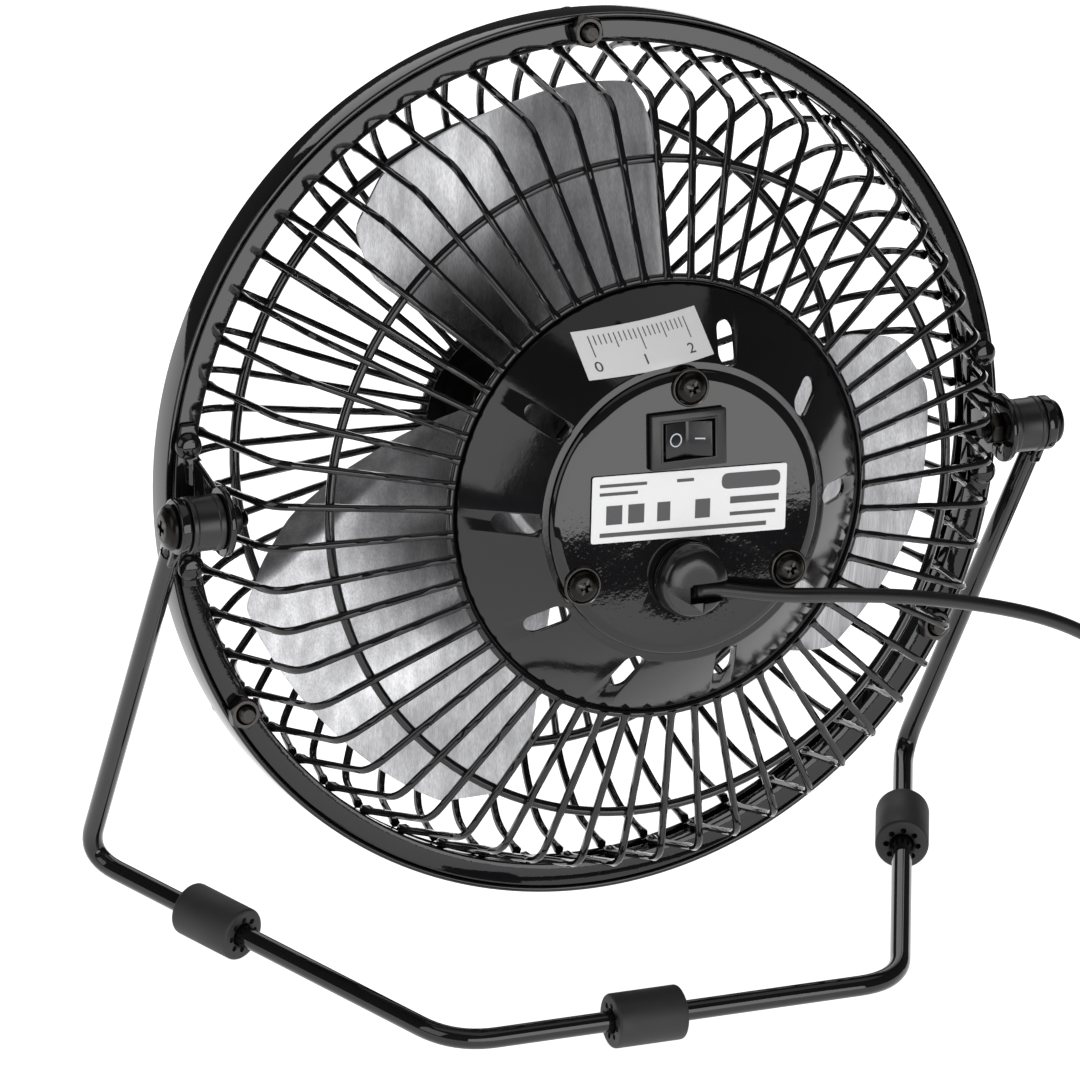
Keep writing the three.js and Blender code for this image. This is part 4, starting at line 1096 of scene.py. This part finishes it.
scale_sheet = diced(cut_sheet([(-12.2, 0), (12.2, 0), (12.2, 10.6), (-12.2, 10.6)], 0.12))
pressed(scale_sheet, 0.42)
finished(scale_sheet, "scale_strip", "head", white_paper, ["scale_sticker"])
ticks = []
for k in range(21):
    x = -9.6 + k * 0.93
    long = 4.6 if k % 10 == 0 else (3.2 if k % 5 == 0 else 2.1)
    ticks.append(diced(box_solid((x - 0.09, 0, 9.3 - long), (x + 0.09, 0.05, 9.3)), 0.9))
pressed(joined(ticks), 0.47)
finished(bpy.context.object, "scale_ticks", "head", grey_ink)
digits = []
for k, x in enumerate((-9.7, -1.0, 8.2)):
    bpy.ops.object.select_all(action="DESELECT")
    bpy.ops.object.text_add(rotation=(math.pi / 2, 0, 0))
    digit = bpy.context.object
    digit.data.body = str(k)
    digit.data.size = 3.1 * mm
    digit.data.extrude = 0.03 * mm
    digit.data.resolution_u = 4
    digit.data.align_x = "CENTER"
    bpy.ops.object.convert(target="MESH")
    bpy.ops.object.transform_apply(location=True, rotation=True, scale=True)
    made = bpy.context.object
    made.data.transform(Matrix.Translation(Vector((x, 0.03, 1.6)) * mm))
    start_edit(made)
    clean_faces(0.000001)
    stop_edit()
    digits.append(made)
pressed(joined(digits), 0.47)
finished(bpy.context.object, "scale_digits", "head", grey_ink)

# %% [markdown]
# ## The blades
# Three broad aluminium blades are pressed from one sheet. A blade is cut flat to its outline, sliced into
# narrow strips so that it can bend, and bent by a camber that depends only on x: a soft crease left of
# the middle and a sharper lip along the straight edge. The pressing around the hub is a turned boss.

# %% One blade
blade_radius, blade_thick, blade_mid = 70.5, 0.8, 3.4
blade_pitch = math.radians(15)
tip_arc = [(blade_radius * math.cos(math.radians(a)), blade_radius * math.sin(math.radians(a)))
           for a in range(74, 121, 3)]
blade_outline = [(20, 9), (24.5, 24), (26.5, 38), (26.5, 50), (23.5, 60), *tip_arc,
                 (-40.5, 52), (-38, 42), (-28, 32), (-14, 18), (-9, 6)]


def camber(x):
    """How far a point of the blade stands off its flat plane, in millimetres."""
    back = 0.0
    if x < -4:
        reach = min(-4 - x, 12)
        back += 0.3 * reach * reach / 24 + 0.3 * max(0, -4 - x - 12)
    if x > 21.5:
        back += 0.55 * (x - 21.5)
    return back


blade = diced(drawn(softened([(x, 0, z) for x, z in blade_outline], 2.4, 4), filled=True), 1.5)
start_edit(blade)
bpy.ops.mesh.select_all(action="SELECT")
bpy.ops.mesh.normals_make_consistent(inside=False)
stop_edit()
for vertex in blade.data.vertices:
    vertex.co.y = camber(vertex.co.x / mm) * mm
wall = blade.modifiers.new("sheet", "SOLIDIFY")
wall.thickness = blade_thick * mm
wall.offset = 0
only(blade)
bpy.ops.object.modifier_apply(modifier=wall.name)
blade.data.transform(Matrix.Translation((0, blade_mid * mm, 0)) @ Matrix.Rotation(blade_pitch, 4, "Z"))
print("one blade:", len(blade.data.polygons), "faces")

# %% All three, and the boss
spin_set = [copy_of(blade, about_y(5 + 120 * i)) for i in range(3)]
bpy.data.objects.remove(blade)
boss = turned([(9.3, -3), (17.6, -3), (19, -1.6), (19, 5.6), (17.6, 7), (9.3, 7)], 0.5, 96)
finished(joined([*spin_set, boss]), "pressed_blades", "rotor", aluminium, ["fan_blades"], crease=30)
hub = turned([(1.3, -7.6), (7.4, -7.6), (9, -6.2), (9, 8), (7, 9.2), (1.3, 9.2)], 0.5, 64)
finished(hub, "hub_plug", "rotor", black_plastic, ["blade_hub"])
spindle = knob([(0, -17), (0.8, -17), (1, -16.7), (1, 11.7), (0.8, 12), (0, 12)], 0.1, 32)
finished(spindle, "spindle", "rotor", plain_steel, ["motor_shaft"])
nose = turned([(1.3, 9.5), (2.9, 9.5), (3.2, 9.8), (3.2, 11.8), (2.9, 12.2), (1.3, 12.2)], 0.2, 48)
finished(nose, "turned_collar", "rotor", brass, ["shaft_collar"])

# %% [markdown]
# ## Motor and holder
# Behind the blades sit a plain steel can, the plastic holder that clips it to the plate, and two short
# red leads. Little of them shows through the guard, so they are simple, but each has its own form.

# %% Motor, holder and leads
can = turned([(1.5, -34.2), (11.6, -34.2), (12.2, -33.6), (12.2, -10.6), (11.6, -10), (3.1, -10), (3.1, -8.4),
              (1.5, -8.4)], 0.3, 96)
carved(can, [drill(x, z, 0.9, -12, -9, 16) for x, z in ((6.5, 0), (-6.5, 0), (0, 6.5), (0, -6.5))])
finished(can, "motor_steel_can", "head", plain_steel, ["motor_can"])
holder = turned([(12.5, -42.9), (24.5, -42.9), (24.5, -41.7), (14.1, -41.7), (14.1, -24), (12.5, -24)],
                0.4, 96)
carved(holder, [box_solid((-7.3, -46, switch_z - 5.2), (7.3, -33, switch_z + 5.2)),
                drill(0, grip_z, 7, -46, -38)])
finished(holder, "motor_holder_ring", "head", black_plastic, ["motor_holder"])
leads = {
    "lead_switch_to_motor": [(-3, -36.8, 12.2), (-3.4, -37.2, 10), (-4, -36.4, 7), (-4, -35.4, 5.2)],
    "lead_cord_to_switch": [(1.5, -41.8, -10), (6, -41.6, -6), (7, -41, 0), (5, -39.5, 6), (3.6, -37.3, 10),
                            (3, -36.8, 12.2)],
}
for node, points in leads.items():
    line = [place * mm for place in smooth_line(points, 0.8)]
    finished(swept(line, 1.2 * mm, 12), node.replace("lead", "wire"), "head", red_insulation, [node])

# %% [markdown]
# ## The studio
# A plain white table fills the view. Around it the room is dim, so that gloss black stays black, and
# large soft panels draw long grey shapes on the paint: one low and wide behind the camera for the flat
# cover, one overhead, one at the left and one beyond the fan for its far edges.

# %% Table
bpy.ops.object.select_all(action="DESELECT")
bpy.ops.mesh.primitive_circle_add(vertices=96, radius=0.95, fill_type="NGON", location=(0, 0, -0.0002))
table = bpy.context.object
table.name = "studio_table"
table_white = Finish("table_white", "none", Roughness=0.8, Emission_Strength=0.92)
table_white.shader.inputs["Emission Color"].default_value = (1, 1, 1, 1)
table_white.to("Base Color", table_white.blend(table_white.noise(90, 2.0), grey(0.88), grey(0.9)))
table.data.materials.append(table_white.material)

# %% Room
room = bpy.data.worlds.new("studio_room")
bpy.context.scene.world = room
room.use_nodes = True
tree = room.node_tree
background = tree.nodes["Background"]
background.inputs["Color"].default_value = (1, 1, 1, 1)
path = tree.nodes.new("ShaderNodeLightPath")
level = tree.nodes.new("ShaderNodeMapRange")
level.inputs["To Min"].default_value = 0.06
level.inputs["To Max"].default_value = 1.0
tree.links.new(path.outputs["Is Camera Ray"], level.inputs["Value"])
tree.links.new(level.outputs["Result"], background.inputs["Strength"])
bpy.context.scene.view_settings.view_transform = "Standard"
print("room is set")

# %% Soft panels
def panel(name, place, target, width, height, power):
    """A soft rectangular light that faces its target."""
    place, target = Vector(place), Vector(target)
    facing = (target - place).to_track_quat("-Z", "Y").to_euler()
    bpy.ops.object.light_add(type="AREA", location=place, rotation=facing)
    light = bpy.context.object
    light.name = name
    light.data.shape = "RECTANGLE"
    light.data.size = width
    light.data.size_y = height
    light.data.energy = power
    light.visible_camera = False
    return light


cover_centre = shaft_place + head_seat.to_3x3() @ Vector((0, cover_face * mm, 0))
seen = Vector((0.375, -0.923, -0.069)).normalized()
side_way = Vector((seen.y, -seen.x, 0)).normalized()
low_panel = cover_centre + seen * 1.5 + side_way * 0.62 + Vector((0, 0, 0.45))
panel("panel_behind_camera", low_panel, low_panel - Vector((seen.x, seen.y, 0)), 1.6, 0.9, 16)
panel("panel_overhead", (0.1, 0.1, 1.5), (0, 0, 0.1), 1.5, 1.5, 4.5)
panel("panel_left", (-1.3, -0.3, 0.7), (0, 0, 0.1), 0.8, 1.1, 5)
panel("panel_beyond", (0.3, 1.4, 0.9), (0, 0, 0.1), 1.6, 0.9, 6)
print("panels are hung")
